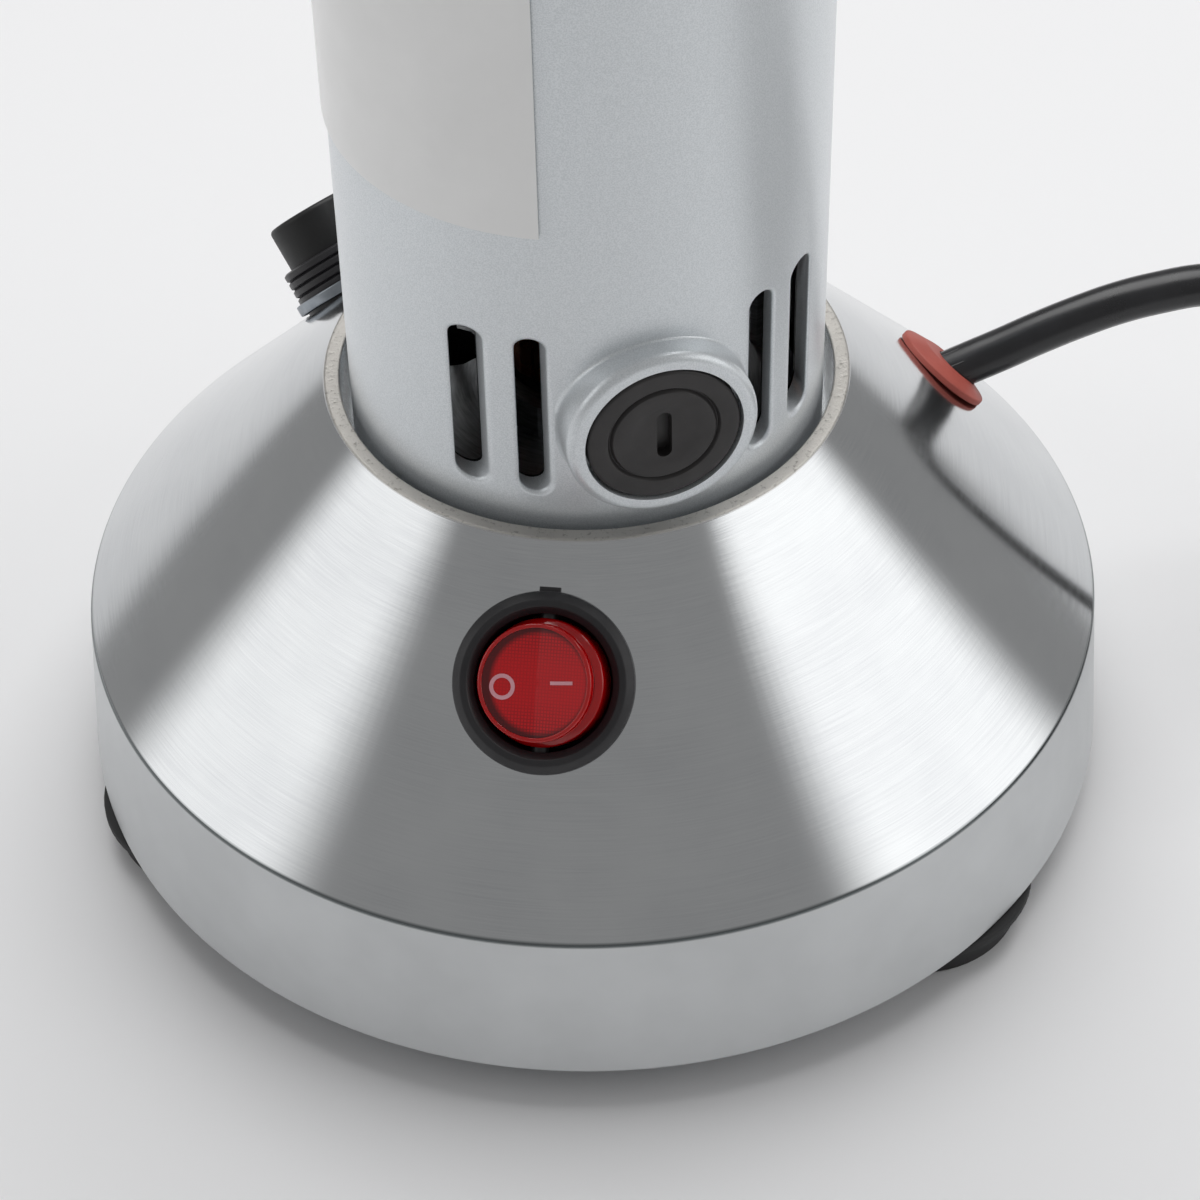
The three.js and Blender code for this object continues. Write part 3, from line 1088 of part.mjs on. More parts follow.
function bladeBody(turn, bottom) {
  const { hubRadius, width, tipWidth, thickness } = blade;
  const length = bowlInner - blade.bowlGap;
  const arm = new THREE.Shape([
    [-length, -width / 2], [0, -width / 2], [length, width / 2 - tipWidth], [length, width / 2],
    [0, width / 2], [-length, tipWidth - width / 2],
  ].map(([x, y]) => new THREE.Vector2(x, y)));
  const body = join(extruded(arm, bottom, bottom + thickness), rod(hubRadius, bottom, bottom + thickness));
  const bore = rod(shaft.threadRadius + fit.seat, bottom - fit.overrun, bottom + thickness + fit.overrun);
  return cut(moved(body, turnedBy(turn)), bore);
}
piece('lower_blade', bladeBody(boss.azimuth, bladeSeat), finishes.stainless);
piece('blade_spacer', ring(shaft.threadRadius + fit.seat, blade.spacerRadius,
  bladeSeat + blade.thickness + fit.seat, upperSeat - fit.seat, sides.small), finishes.stainless);
piece('upper_blade', bladeBody(boss.azimuth + blade.upperTurn, upperSeat), finishes.stainless);
const flatsShare = Math.cos(Math.PI / bladeNut.cornerCount);
piece('blade_nut', ring((shaft.threadRadius + fit.seat) / flatsShare, bladeNut.halfFlats / flatsShare,
  nutBottom, nutBottom + bladeNut.height, bladeNut.cornerCount), finishes.stainless);

// Lid: it turns off the bowl's thread and lifts away

const gasketBottom = bowlRim + fit.seat;
const lidUnder = gasketBottom + lid.gasketThickness + fit.seat;
const lidTop = lidUnder + lid.wall;
const skirtInner = threadRadius + lid.skirtGap;
const skirtOuter = skirtInner + lid.wall;

piece('lid_gasket', ring(bowlInner - lid.gasketOverlap, skirtInner - lid.gasketInset, gasketBottom,
  gasketBottom + lid.gasketThickness, sides.plate), finishes.silicone);

piece('lid', turned([
  [knobScrew.radius + fit.seat, lidUnder], [skirtInner, lidUnder], [skirtInner, lidUnder - lid.skirtDepth],
  [skirtOuter, lidUnder - lid.skirtDepth], [skirtOuter, lidTop - lid.cornerRound],
  ...cornerArc(lid.cornerRound, skirtOuter - lid.cornerRound, lidTop - lid.cornerRound, 45, 90, 1),
  [knobScrew.radius + fit.seat, lidTop],
], sides.large), finishes.stainless);

const knobBottom = lidTop + fit.seat;
const knobTop = knobBottom + knob.height;
const knobBore = knobScrew.radius + fit.seat;
piece('lid_knob', turned([
  [knobBore, knobBottom], [knob.footRadius, knobBottom], [knob.footRadius, knobBottom + knob.footHeight],
  [knob.neckRadius, knobBottom + knob.footHeight + knob.footTaper],
  [knob.neckRadius, knobBottom + knob.neckHeight],
  [knob.radius, knobBottom + knob.neckHeight + knob.capFlare], [knob.radius, knobTop - knob.shoulder],
  [knob.crownRadius, knobTop - knob.crownDrop], [0, knobTop],
  [0, knobBottom + knob.boreDepth], [knobBore, knobBottom + knob.boreDepth],
]), finishes.phenolic);
piece('lid_screw', moved(screwUp(knobScrew), shifted(0, 0, lidUnder - fit.seat)), finishes.stainless);

export default product;
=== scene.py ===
"""Looks of the electric spice grinder: its finishes, its turned and moulded pieces, its cord and the studio.

Lengths are in metres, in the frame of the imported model: +Z up, the motor axis at x = y = 0, the
surface that the grinder stands on at z = 0. An azimuth is counted from the switch (-Y) towards +X.
"""

import logging
import math
from dataclasses import dataclass, field
from enum import Enum
from typing import Any, Callable, NamedTuple, Sequence

import bmesh
import bpy
from mathutils import Matrix, Vector, noise


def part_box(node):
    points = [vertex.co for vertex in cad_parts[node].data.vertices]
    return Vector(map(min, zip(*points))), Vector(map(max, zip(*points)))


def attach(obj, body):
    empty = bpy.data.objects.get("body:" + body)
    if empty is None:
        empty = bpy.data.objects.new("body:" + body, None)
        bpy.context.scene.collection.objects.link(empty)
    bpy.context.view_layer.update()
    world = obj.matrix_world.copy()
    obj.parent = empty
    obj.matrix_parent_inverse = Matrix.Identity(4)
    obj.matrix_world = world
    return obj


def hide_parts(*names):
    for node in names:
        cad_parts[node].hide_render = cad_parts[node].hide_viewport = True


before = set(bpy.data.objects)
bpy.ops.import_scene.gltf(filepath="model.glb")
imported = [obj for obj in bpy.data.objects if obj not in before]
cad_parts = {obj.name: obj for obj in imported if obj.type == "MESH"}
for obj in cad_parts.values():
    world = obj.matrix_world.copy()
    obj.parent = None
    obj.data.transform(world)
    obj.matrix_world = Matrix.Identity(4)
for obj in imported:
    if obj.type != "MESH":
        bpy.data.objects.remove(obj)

MM = 0.001
MERGE = 1e-6
SMOOTH_ANGLE = math.radians(38)
OVERRUN = 2 * MM
SEAT = 0.3 * MM
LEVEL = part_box("base_shell")[0].z

log = logging.getLogger("spice_grinder")


class Corner(NamedTuple):
    """A corner of an outline that is turned about an axis."""

    radius: float
    height: float
    round: float = 0.0


def polar(azimuth: float, radius: float, height: float = 0.0) -> Vector:
    """Point at an azimuth in degrees, a radius and a height."""
    angle = math.radians(azimuth)
    return Vector((radius * math.sin(angle), -radius * math.cos(angle), height))


def station(origin: Vector, outward: Vector) -> Matrix:
    """Place whose +Z runs outward and whose +Y is the direction nearest to up.

    Args:
        origin: Where the place is.
        outward: The direction that becomes +Z.

    Returns:
        The matrix that takes a piece from its own axes to that place.
    """
    z = outward.normalized()
    x = Vector((0, 0, 1)).cross(z).normalized()
    turn = Matrix((x, z.cross(x), z)).transposed()
    return Matrix.Translation(origin) @ turn.to_4x4()


def rounded(corners: Sequence[Corner], closed: bool, steps: int = 4) -> list[tuple[float, float]]:
    """Outline with an arc at each corner that has a round.

    Args:
        corners: The corners in order.
        closed: Whether the last corner joins the first.
        steps: Straight pieces in each arc.

    Returns:
        The outline's points as radius and height.
    """
    points: list[tuple[float, float]] = []
    count = len(corners)
    for i, corner in enumerate(corners):
        here = Vector(corner[:2])
        at_end = not closed and i in (0, count - 1)
        if corner.round <= 0 or at_end:
            points.append(tuple(here))
            continue
        to_last = Vector(corners[i - 1][:2]) - here
        to_next = Vector(corners[(i + 1) % count][:2]) - here
        half = to_last.angle(to_next) / 2
        reach = min(corner.round / math.tan(half), to_last.length / 2, to_next.length / 2)
        radius = reach * math.tan(half)
        middle = here + (to_last.normalized() + to_next.normalized()).normalized() * radius / math.sin(half)
        start = here + to_last.normalized() * reach - middle
        sweep = start.angle_signed(here + to_next.normalized() * reach - middle)
        for k in range(steps + 1):
            turn = Matrix.Rotation(-sweep * k / steps, 2)
            points.append(tuple(middle + turn @ start))
    return points


class Operation(Enum):
    """Ways to combine two solids."""

    CUT = "DIFFERENCE"
    JOIN = "UNION"


class Solid:
    """A closed solid in the making."""

    def __init__(self, mesh: bmesh.types.BMesh) -> None:
        """Keep the mesh that the solid is made of."""
        self.mesh = mesh

    @classmethod
    def turned(cls, corners: Sequence[Corner], steps: int = 96, arc_steps: int = 4) -> "Solid":
        """Solid of revolution about Z.

        Args:
            corners: Its outline, which starts and ends on the axis or closes on itself.
            steps: Faces round the axis.
            arc_steps: Faces across each rounded corner.

        Returns:
            The solid.
        """
        closed = max(corners[0][0], corners[-1][0]) > MERGE
        mesh = bmesh.new()
        verts = [mesh.verts.new((r, 0, z)) for r, z in rounded(corners, closed, arc_steps)]
        pairs = list(zip(verts, verts[1:])) + ([(verts[-1], verts[0])] if closed else [])
        edges = [mesh.edges.new(pair) for pair in pairs]
        bmesh.ops.spin(
            mesh, geom=verts + edges, cent=(0, 0, 0), axis=(0, 0, 1), angle=2 * math.pi,
            steps=steps, use_merge=True, use_duplicate=False,
        )
        return cls(mesh).cleaned()

    @classmethod
    def rod(cls, radius: float, bottom: float, top: float, steps: int = 64) -> "Solid":
        """Plain round rod about Z."""
        ends = [Corner(0, bottom), Corner(radius, bottom), Corner(radius, top), Corner(0, top)]
        return cls.turned(ends, steps)

    @classmethod
    def slot(cls, width: float, length: float, levels: Sequence[tuple[float, float]], steps: int = 12) -> "Solid":
        """Slot with round ends, its length along Y.

        Args:
            width: Its width where it has not grown.
            length: Its length there.
            levels: From the bottom up, each height and how far the outline has grown all round by then.
            steps: Straight pieces in each half circle.

        Returns:
            The solid.
        """
        mesh = bmesh.new()
        turns = [math.pi * k / steps for k in range(steps + 1)]
        rings = []
        for height, growth in levels:
            half, straight = width / 2 + growth, (length - width) / 2
            rim = [(half * math.cos(t), straight + half * math.sin(t)) for t in turns]
            rim += [(-x, -y) for x, y in rim]
            rings.append([mesh.verts.new((x, y, height)) for x, y in rim])
        mesh.faces.new(rings[0])
        mesh.faces.new(rings[-1])
        for low, high in zip(rings, rings[1:]):
            for i, vert in enumerate(low):
                mesh.faces.new((vert, low[i - 1], high[i - 1], high[i]))
        return cls(mesh).cleaned()

    @classmethod
    def block(cls, size: Vector, centre: Vector, bevel: float = 0.0) -> "Solid":
        """Block with its edges rounded over by a bevel."""
        mesh = bmesh.new()
        bmesh.ops.create_cube(mesh, size=1)
        bmesh.ops.scale(mesh, vec=size, verts=mesh.verts)
        bmesh.ops.translate(mesh, vec=centre, verts=mesh.verts)
        if bevel:
            bmesh.ops.bevel(
                mesh, geom=list(mesh.edges), offset=bevel, affect="EDGES", segments=3,
                profile=0.5, material=-1,
            )
        return cls(mesh).cleaned()

    def cleaned(self) -> "Solid":
        """Merge doubled points, drop loose edges and turn the faces outwards."""
        bmesh.ops.remove_doubles(self.mesh, verts=self.mesh.verts, dist=MERGE)
        loose = [edge for edge in self.mesh.edges if not edge.link_faces]
        bmesh.ops.delete(self.mesh, geom=loose, context="EDGES")
        bmesh.ops.recalc_face_normals(self.mesh, faces=self.mesh.faces)
        return self

    def moved(self, place: Matrix) -> "Solid":
        """Take the solid to a place."""
        bmesh.ops.transform(self.mesh, matrix=place, verts=self.mesh.verts)
        return self

    def shaped(self, rule: Callable[[Vector], Vector]) -> "Solid":
        """Move each point to where a rule puts it; the faces are made triangles, which stay flat."""
        bmesh.ops.triangulate(self.mesh, faces=self.mesh.faces)
        for vert in self.mesh.verts:
            vert.co = rule(vert.co)
        return self

    def combined(self, others: Sequence["Solid"], operation: Operation) -> "Solid":
        """Cut others out of the solid, or join them to it.

        Args:
            others: The other solids, which are used up.
            operation: What to do with them.

        Returns:
            The new solid.
        """
        solid = self
        for other in others:
            body, tool = solid.to_object("body in the making"), other.to_object("tool in the making")
            step = body.modifiers.new("step", "BOOLEAN")
            step.operation, step.solver, step.object = operation.value, "EXACT", tool
            bpy.context.view_layer.update()
            result = bpy.data.meshes.new_from_object(body.evaluated_get(bpy.context.evaluated_depsgraph_get()))
            mesh = bmesh.new()
            mesh.from_mesh(result)
            for used in (body.data, tool.data, result):
                bpy.data.meshes.remove(used)
            bmesh.ops.remove_doubles(mesh, verts=mesh.verts, dist=MERGE)
            bmesh.ops.dissolve_degenerate(mesh, edges=mesh.edges, dist=MERGE)
            solid = Solid(mesh)
        return solid

    def cut(self, *tools: "Solid") -> "Solid":
        """Cut tools out of the solid."""
        return self.combined(tools, Operation.CUT)

    def joined(self, *others: "Solid") -> "Solid":
        """Join others to the solid."""
        return self.combined(others, Operation.JOIN)

    def to_object(self, name: str) -> bpy.types.Object:
        """Turn the solid into an object in the scene."""
        data = bpy.data.meshes.new(name)
        self.mesh.to_mesh(data)
        self.mesh.free()
        made = bpy.data.objects.new(name, data)
        bpy.context.scene.collection.objects.link(made)
        return made


class TurnedShading:
    """Smooth normals of a surface of revolution about Z whose long faces are cut by holes."""

    LONG = 1.5 * MM
    SQUARE = 0.03

    def __init__(self, data: bpy.types.Mesh) -> None:
        """Keep the mesh and its usual normals."""
        self.data = data
        self.usual = [loop.vector.copy() for loop in data.corner_normals]

    def along(self, face: bpy.types.MeshPolygon) -> tuple[float, float] | None:
        """Radial and axial share of a long turned face's normal, or None for any other face."""
        points = [self.data.vertices[v].co for v in face.vertices]
        spots = [Vector((p.xy.length, p.z)) for p in points]
        if max((a - spots[0]).length for a in spots) < self.LONG:
            return None
        middle = face.center.xy.normalized()
        if abs(face.normal.xy.cross(middle)) > self.SQUARE:
            return None
        return face.normal.xy.dot(middle), face.normal.z

    def apply(self) -> None:
        """Give long turned faces, and the rounds beside them, the normals of the true surface."""
        shares = {face.index: self.along(face) for face in self.data.polygons}
        beside: dict[int, list[Vector]] = {}
        for face in self.data.polygons:
            if shares[face.index] is None:
                continue
            radial, axial = shares[face.index]
            for vert in face.vertices:
                ray = self.data.vertices[vert].co.xy.normalized() * radial
                beside.setdefault(vert, []).append(Vector((*ray, axial)).normalized())
        normals = list(self.usual)
        for face in self.data.polygons:
            for loop, vert in zip(face.loop_indices, face.vertices):
                near = [n for n in beside.get(vert, []) if n.angle(face.normal, math.pi) < SMOOTH_ANGLE]
                if near:
                    normals[loop] = min(near, key=lambda n: n.angle(face.normal, math.pi))
        self.data.normals_split_custom_set([tuple(n) for n in normals])


def linear(colour: str) -> tuple[float, float, float, float]:
    """Turn an sRGB hex colour such as #8A8D90 into linear RGBA."""
    shares = [int(colour[i:i + 2], 16) / 255 for i in (1, 3, 5)]
    values = [s / 12.92 if s <= 0.04045 else ((s + 0.055) / 1.055) ** 2.4 for s in shares]
    return (*values, 1.0)


def add(tree: bpy.types.NodeTree, kind: str, inputs: dict[Any, Any] | None = None, **settings: Any) -> bpy.types.Node:
    """Add a node, set it up and link it.

    Args:
        tree: The material's or world's node tree.
        kind: Blender's name for the kind of node.
        inputs: For each input, a value, a socket, or a node whose first output is used.
        settings: The node's own settings.

    Returns:
        The node.
    """
    made = tree.nodes.new(kind)
    for name, value in settings.items():
        setattr(made, name, value)
    for name, value in (inputs or {}).items():
        if isinstance(value, bpy.types.Node):
            value = value.outputs[0]
        if isinstance(value, bpy.types.NodeSocket):
            tree.links.new(value, made.inputs[name])
        else:
            made.inputs[name].default_value = value
    return made


@dataclass(frozen=True)
class Finish:
    """How a surface looks. The base class has one tone all over; each kind of surface adds its pattern."""

    name: str
    slot: str
    colour: str
    roughness: float
    metallic: float = 0.0
    ior: float = 1.5
    coat: float = 0.0
    coat_roughness: float = 0.1
    anisotropy: float = 0.0
    transmission: float = 0.0

    def material(self) -> bpy.types.Material:
        """Make the material, or find it if it is there already."""
        found = bpy.data.materials.get(self.name)
        if found:
            return found
        material = bpy.data.materials.new(self.name)
        material.use_nodes = True
        tree = material.node_tree
        tree.nodes.clear()
        shader = add(tree, "ShaderNodeBsdfPrincipled", {
            "Base Color": linear(self.colour), "Metallic": self.metallic, "Roughness": self.roughness,
            "IOR": self.ior, "Coat Weight": self.coat, "Coat Roughness": self.coat_roughness,
            "Anisotropic": self.anisotropy, "Transmission Weight": self.transmission,
        })
        add(tree, "ShaderNodeOutputMaterial", {"Surface": shader})
        self.pattern(tree, shader)
        return material

    def pattern(self, tree: bpy.types.NodeTree, shader: bpy.types.Node) -> None:
        """Add nothing: the plain finish has no pattern."""

    def tone(self, tree: bpy.types.NodeTree, shader: bpy.types.Node, factor: Any, other: str) -> None:
        """Vary the colour between the finish's own and another one.

        Args:
            tree: The node tree.
            shader: The surface's shader.
            factor: What varies, from 0 to 1.
            other: The colour at 1, as sRGB hex.
        """
        mix = add(tree, "ShaderNodeMix", {0: factor, 6: linear(self.colour), 7: linear(other)}, data_type="RGBA")
        tree.links.new(mix.outputs[2], shader.inputs["Base Color"])

    def gloss(self, tree: bpy.types.NodeTree, shader: bpy.types.Node, factor: Any, spread: float) -> None:
        """Vary the roughness about the finish's own by a spread to each side."""
        add_to = add(tree, "ShaderNodeMapRange", {
            "Value": factor, "From Min": 0.3, "From Max": 0.7,
            "To Min": self.roughness - spread, "To Max": self.roughness + spread,
        })
        tree.links.new(add_to.outputs[0], shader.inputs["Roughness"])

    def relief(self, tree: bpy.types.NodeTree, shader: bpy.types.Node, height: Any, depth: float) -> None:
        """Give the surface a relief of a depth in metres."""
        bump = add(tree, "ShaderNodeBump", {"Height": height, "Distance": depth, "Strength": 1.0})
        tree.links.new(bump.outputs[0], shader.inputs["Normal"])


@dataclass(frozen=True)
class TurnedMetal(Finish):
    """Metal turned or spun about Z: fine grooves round the axis, whose gleam runs across them."""

    groove: float = 0.35 * MM
    groove_length: float = 14 * MM
    depth: float = 0.004 * MM
    shade: str = "#9FA1A3"
    cloud: float = 9 * MM

    def grooves(self, tree: bpy.types.NodeTree) -> bpy.types.NodeSocket:
        """Make the streaks of the turning tool, which run round the axis.

        Args:
            tree: The node tree.

        Returns:
            The streaks' height, from 0 to 1.
        """
        spot = add(tree, "ShaderNodeTexCoord")
        axis = add(tree, "ShaderNodeSeparateXYZ", {0: spot.outputs["Object"]})
        flat = add(tree, "ShaderNodeCombineXYZ", {0: axis.outputs[0], 1: axis.outputs[1]})
        reach = add(tree, "ShaderNodeVectorMath", {0: flat}, operation="LENGTH")
        round_it = add(tree, "ShaderNodeVectorMath", {0: flat}, operation="NORMALIZE")
        across = add(tree, "ShaderNodeMath", {0: reach.outputs["Value"], 1: axis.outputs[2]}, operation="SUBTRACT")
        fine = add(tree, "ShaderNodeMath", {0: across, 1: 1 / self.groove}, operation="MULTIPLY")
        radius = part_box("base_shell")[1].x
        slow = add(tree, "ShaderNodeVectorMath", {0: round_it, "Scale": radius / self.groove_length}, operation="SCALE")
        lift = add(tree, "ShaderNodeCombineXYZ", {2: fine})
        place = add(tree, "ShaderNodeVectorMath", {0: slow, 1: lift}, operation="ADD")
        streaks = add(tree, "ShaderNodeTexNoise", {"Vector": place, "Scale": 1.0, "Detail": 3.0, "Roughness": 0.6})
        return streaks.outputs[0]

    def clouds(self, tree: bpy.types.NodeTree) -> bpy.types.NodeSocket:
        """Make the soft patches that handling and polishing leave."""
        spot = add(tree, "ShaderNodeTexCoord")
        patches = add(tree, "ShaderNodeTexNoise", {
            "Vector": spot.outputs["Object"], "Scale": 1 / self.cloud, "Detail": 3.0, "Roughness": 0.55,
        })
        return patches.outputs[0]

    def pattern(self, tree: bpy.types.NodeTree, shader: bpy.types.Node) -> None:
        """Streak the tone, the gloss and the relief along the grooves."""
        streaks, clouds = self.grooves(tree), self.clouds(tree)
        both = add(tree, "ShaderNodeMath", {0: streaks, 1: clouds}, operation="MULTIPLY")
        level = add(tree, "ShaderNodeMapRange", {"Value": both, "From Min": 0.15, "From Max": 0.38})
        self.tone(tree, shader, level, self.shade)
        self.gloss(tree, shader, streaks, 0.06)
        self.relief(tree, shader, streaks, self.depth)
        shader.inputs["Anisotropic Rotation"].default_value = 0.25
        tangent = add(tree, "ShaderNodeTangent", direction_type="RADIAL", axis="Z")
        tree.links.new(tangent.outputs[0], shader.inputs["Tangent"])


@dataclass(frozen=True)
class PolishedCasting(TurnedMetal):
    """Cast aluminium, polished on the cone, satin on the band below it and left rough at its lip, with a thin line of
    painted shade in the crease at the band's top.
    """

    band_top: float = 0.0
    lip_bottom: float = 0.0
    band: str = "#D4D6D7"
    band_shade: str = "#CDCFD0"
    # colour of the painted shade along the crease between band and cone
    crease_shade: str = "#6F7475"
    lip: str = "#BFBCB7"
    lip_shade: str = "#97948F"
    pit: float = 0.6 * MM

    def share(self, tree: bpy.types.NodeTree, value: Any, start: float, end: float) -> bpy.types.Node:
        """Turn a value into a share that runs from 0 at the start to 1 at the end."""
        return add(tree, "ShaderNodeMapRange", {"Value": value, "From Min": start, "From Max": end})

    def blend(self, tree: bpy.types.NodeTree, share: Any, first: Any, second: Any) -> bpy.types.NodeSocket:
        """Blend two colours, each a hex text or a socket, by a share."""
        first, second = (linear(c) if isinstance(c, str) else c for c in (first, second))
        return add(tree, "ShaderNodeMix", {0: share, 6: first, 7: second}, data_type="RGBA").outputs[2]

    def pattern(self, tree: bpy.types.NodeTree, shader: bpy.types.Node) -> None:
        """Give cone, band and lip each their own tone, gloss and relief, and paint a thin line of shade in the crease
        above the band.
        """
        streaks, clouds = self.grooves(tree), self.clouds(tree)
        spot = add(tree, "ShaderNodeTexCoord")
        height = add(tree, "ShaderNodeSeparateXYZ", {0: spot.outputs["Object"]}).outputs[2]
        band = self.share(tree, height, self.band_top + 0.2 * MM, self.band_top - 0.2 * MM)
        lip = self.share(tree, height, self.lip_bottom, self.lip_bottom + 0.2 * MM)
        # painted shade: a thin dark line within 0.42 mm of the band's top
        above = add(tree, "ShaderNodeMath", {0: height, 1: self.band_top}, operation="SUBTRACT")
        away = add(tree, "ShaderNodeMath", {0: above}, operation="ABSOLUTE")
        crease_shade = self.share(tree, away, 0.42 * MM, 0.12 * MM)
        pits = add(tree, "ShaderNodeTexNoise", {
            "Vector": spot.outputs["Object"], "Scale": 1 / self.pit, "Detail": 4.0, "Roughness": 0.7,
        })
        both = add(tree, "ShaderNodeMath", {0: streaks, 1: clouds}, operation="MULTIPLY")
        cone = self.blend(tree, self.share(tree, both, 0.14, 0.42), self.colour, self.shade)
        satin = self.blend(tree, self.share(tree, clouds, 0.35, 0.65), self.band, self.band_shade)
        rough = self.blend(tree, self.share(tree, pits, 0.44, 0.33), self.lip, self.lip_shade)
        sides = self.blend(tree, crease_shade, self.blend(tree, band, cone, satin), self.crease_shade)
        tree.links.new(self.blend(tree, lip, sides, rough), shader.inputs["Base Color"])
        polished = add(tree, "ShaderNodeMapRange", {
            "Value": streaks, "From Min": 0.3, "From Max": 0.7,
            "To Min": self.roughness - 0.03, "To Max": self.roughness + 0.03,
        })
        gloss = add(tree, "ShaderNodeMix", {0: band, 2: polished, 3: 0.44})
        gloss = add(tree, "ShaderNodeMix", {0: lip, 2: gloss.outputs[0], 3: 0.5})
        tree.links.new(gloss.outputs[0], shader.inputs["Roughness"])
        calm = add(tree, "ShaderNodeMath", {0: 1.0, 1: band}, operation="SUBTRACT")
        fine = add(tree, "ShaderNodeBump", {"Height": streaks, "Distance": self.depth, "Strength": calm})
        pitted = add(tree, "ShaderNodeMath", {0: pits, 1: lip}, operation="MULTIPLY")
        coarse = add(tree, "ShaderNodeBump", {"Height": pitted, "Distance": 0.07 * MM, "Strength": 1.0, "Normal": fine})
        tree.links.new(coarse.outputs[0], shader.inputs["Normal"])
        across = add(tree, "ShaderNodeMath", {0: calm, 1: self.anisotropy}, operation="MULTIPLY")
        tree.links.new(across.outputs[0], shader.inputs["Anisotropic"])
        shader.inputs["Anisotropic Rotation"].default_value = 0.25
        tangent = add(tree, "ShaderNodeTangent", direction_type="RADIAL", axis="Z")
        tree.links.new(tangent.outputs[0], shader.inputs["Tangent"])


@dataclass(frozen=True)
class MetallicPaint(Finish):
    """Silver paint sprayed on sheet: fine aluminium flakes under a thin clear film, with a soft orange peel, and a dark
    painted shade on the inner wall of the bore.
    """

    flake: float = 0.18 * MM
    peel: float = 0.9 * MM
    shade: str = "#D6DBDE"
    # inside this radius the colour is a painted shade: the dark of the bore where the motor blocks the light
    bore_shade_radius: float = 0.0
    bore_painted_shade: str = "#1E1F20"

    def pattern(self, tree: bpy.types.NodeTree, shader: bpy.types.Node) -> None:
        """Scatter the flakes, paint shade on the inner wall of the bore and raise the orange peel."""
        spot = add(tree, "ShaderNodeTexCoord")
        flakes = add(tree, "ShaderNodeTexNoise", {
            "Vector": spot.outputs["Object"], "Scale": 1 / self.flake, "Detail": 1.0, "Roughness": 0.5,
        })
        level = add(tree, "ShaderNodeMapRange", {"Value": flakes, "From Min": 0.35, "From Max": 0.65})
        paint = add(tree, "ShaderNodeMix", {
            0: level, 6: linear(self.colour), 7: linear(self.shade)}, data_type="RGBA")
        level_spot = add(tree, "ShaderNodeVectorMath", {0: spot.outputs["Object"], 1: (1, 1, 0)}, operation="MULTIPLY")
        radius = add(tree, "ShaderNodeVectorMath", {0: level_spot}, operation="LENGTH")
        # painted shade: every point nearer the axis than the radius takes the dark colour
        inside = add(tree, "ShaderNodeMath", {
            0: radius.outputs["Value"], 1: self.bore_shade_radius}, operation="LESS_THAN")
        tone = add(tree, "ShaderNodeMix", {0: inside, 6: paint.outputs[2], 7: linear(self.bore_painted_shade)}, data_type="RGBA")
        tree.links.new(tone.outputs[2], shader.inputs["Base Color"])
        self.gloss(tree, shader, flakes, 0.03)
        peel = add(tree, "ShaderNodeTexNoise", {
            "Vector": spot.outputs["Object"], "Scale": 1 / self.peel, "Detail": 2.0, "Roughness": 0.4,
        })
        self.relief(tree, shader, peel, 0.006 * MM)


@dataclass(frozen=True)
class Moulded(Finish):
    """Plastic or rubber out of a mould: an even tone with the fine grain of the tool's skin."""

    grain: float = 0.3 * MM
    depth: float = 0.006 * MM
    shade: str = "#000000"
    cloud: float = 6 * MM

    def pattern(self, tree: bpy.types.NodeTree, shader: bpy.types.Node) -> None:
        """Cloud the tone a little and grain the surface."""
        spot = add(tree, "ShaderNodeTexCoord")
        clouds = add(tree, "ShaderNodeTexNoise", {
            "Vector": spot.outputs["Object"], "Scale": 1 / self.cloud, "Detail": 4.0, "Roughness": 0.6,
        })
        grain = add(tree, "ShaderNodeTexNoise", {
            "Vector": spot.outputs["Object"], "Scale": 1 / self.grain, "Detail": 2.0, "Roughness": 0.5,
        })
        level = add(tree, "ShaderNodeMapRange", {"Value": clouds, "From Min": 0.3, "From Max": 0.7})
        self.tone(tree, shader, level, self.shade)
        self.gloss(tree, shader, clouds, 0.05)
        self.relief(tree, shader, grain, self.depth)


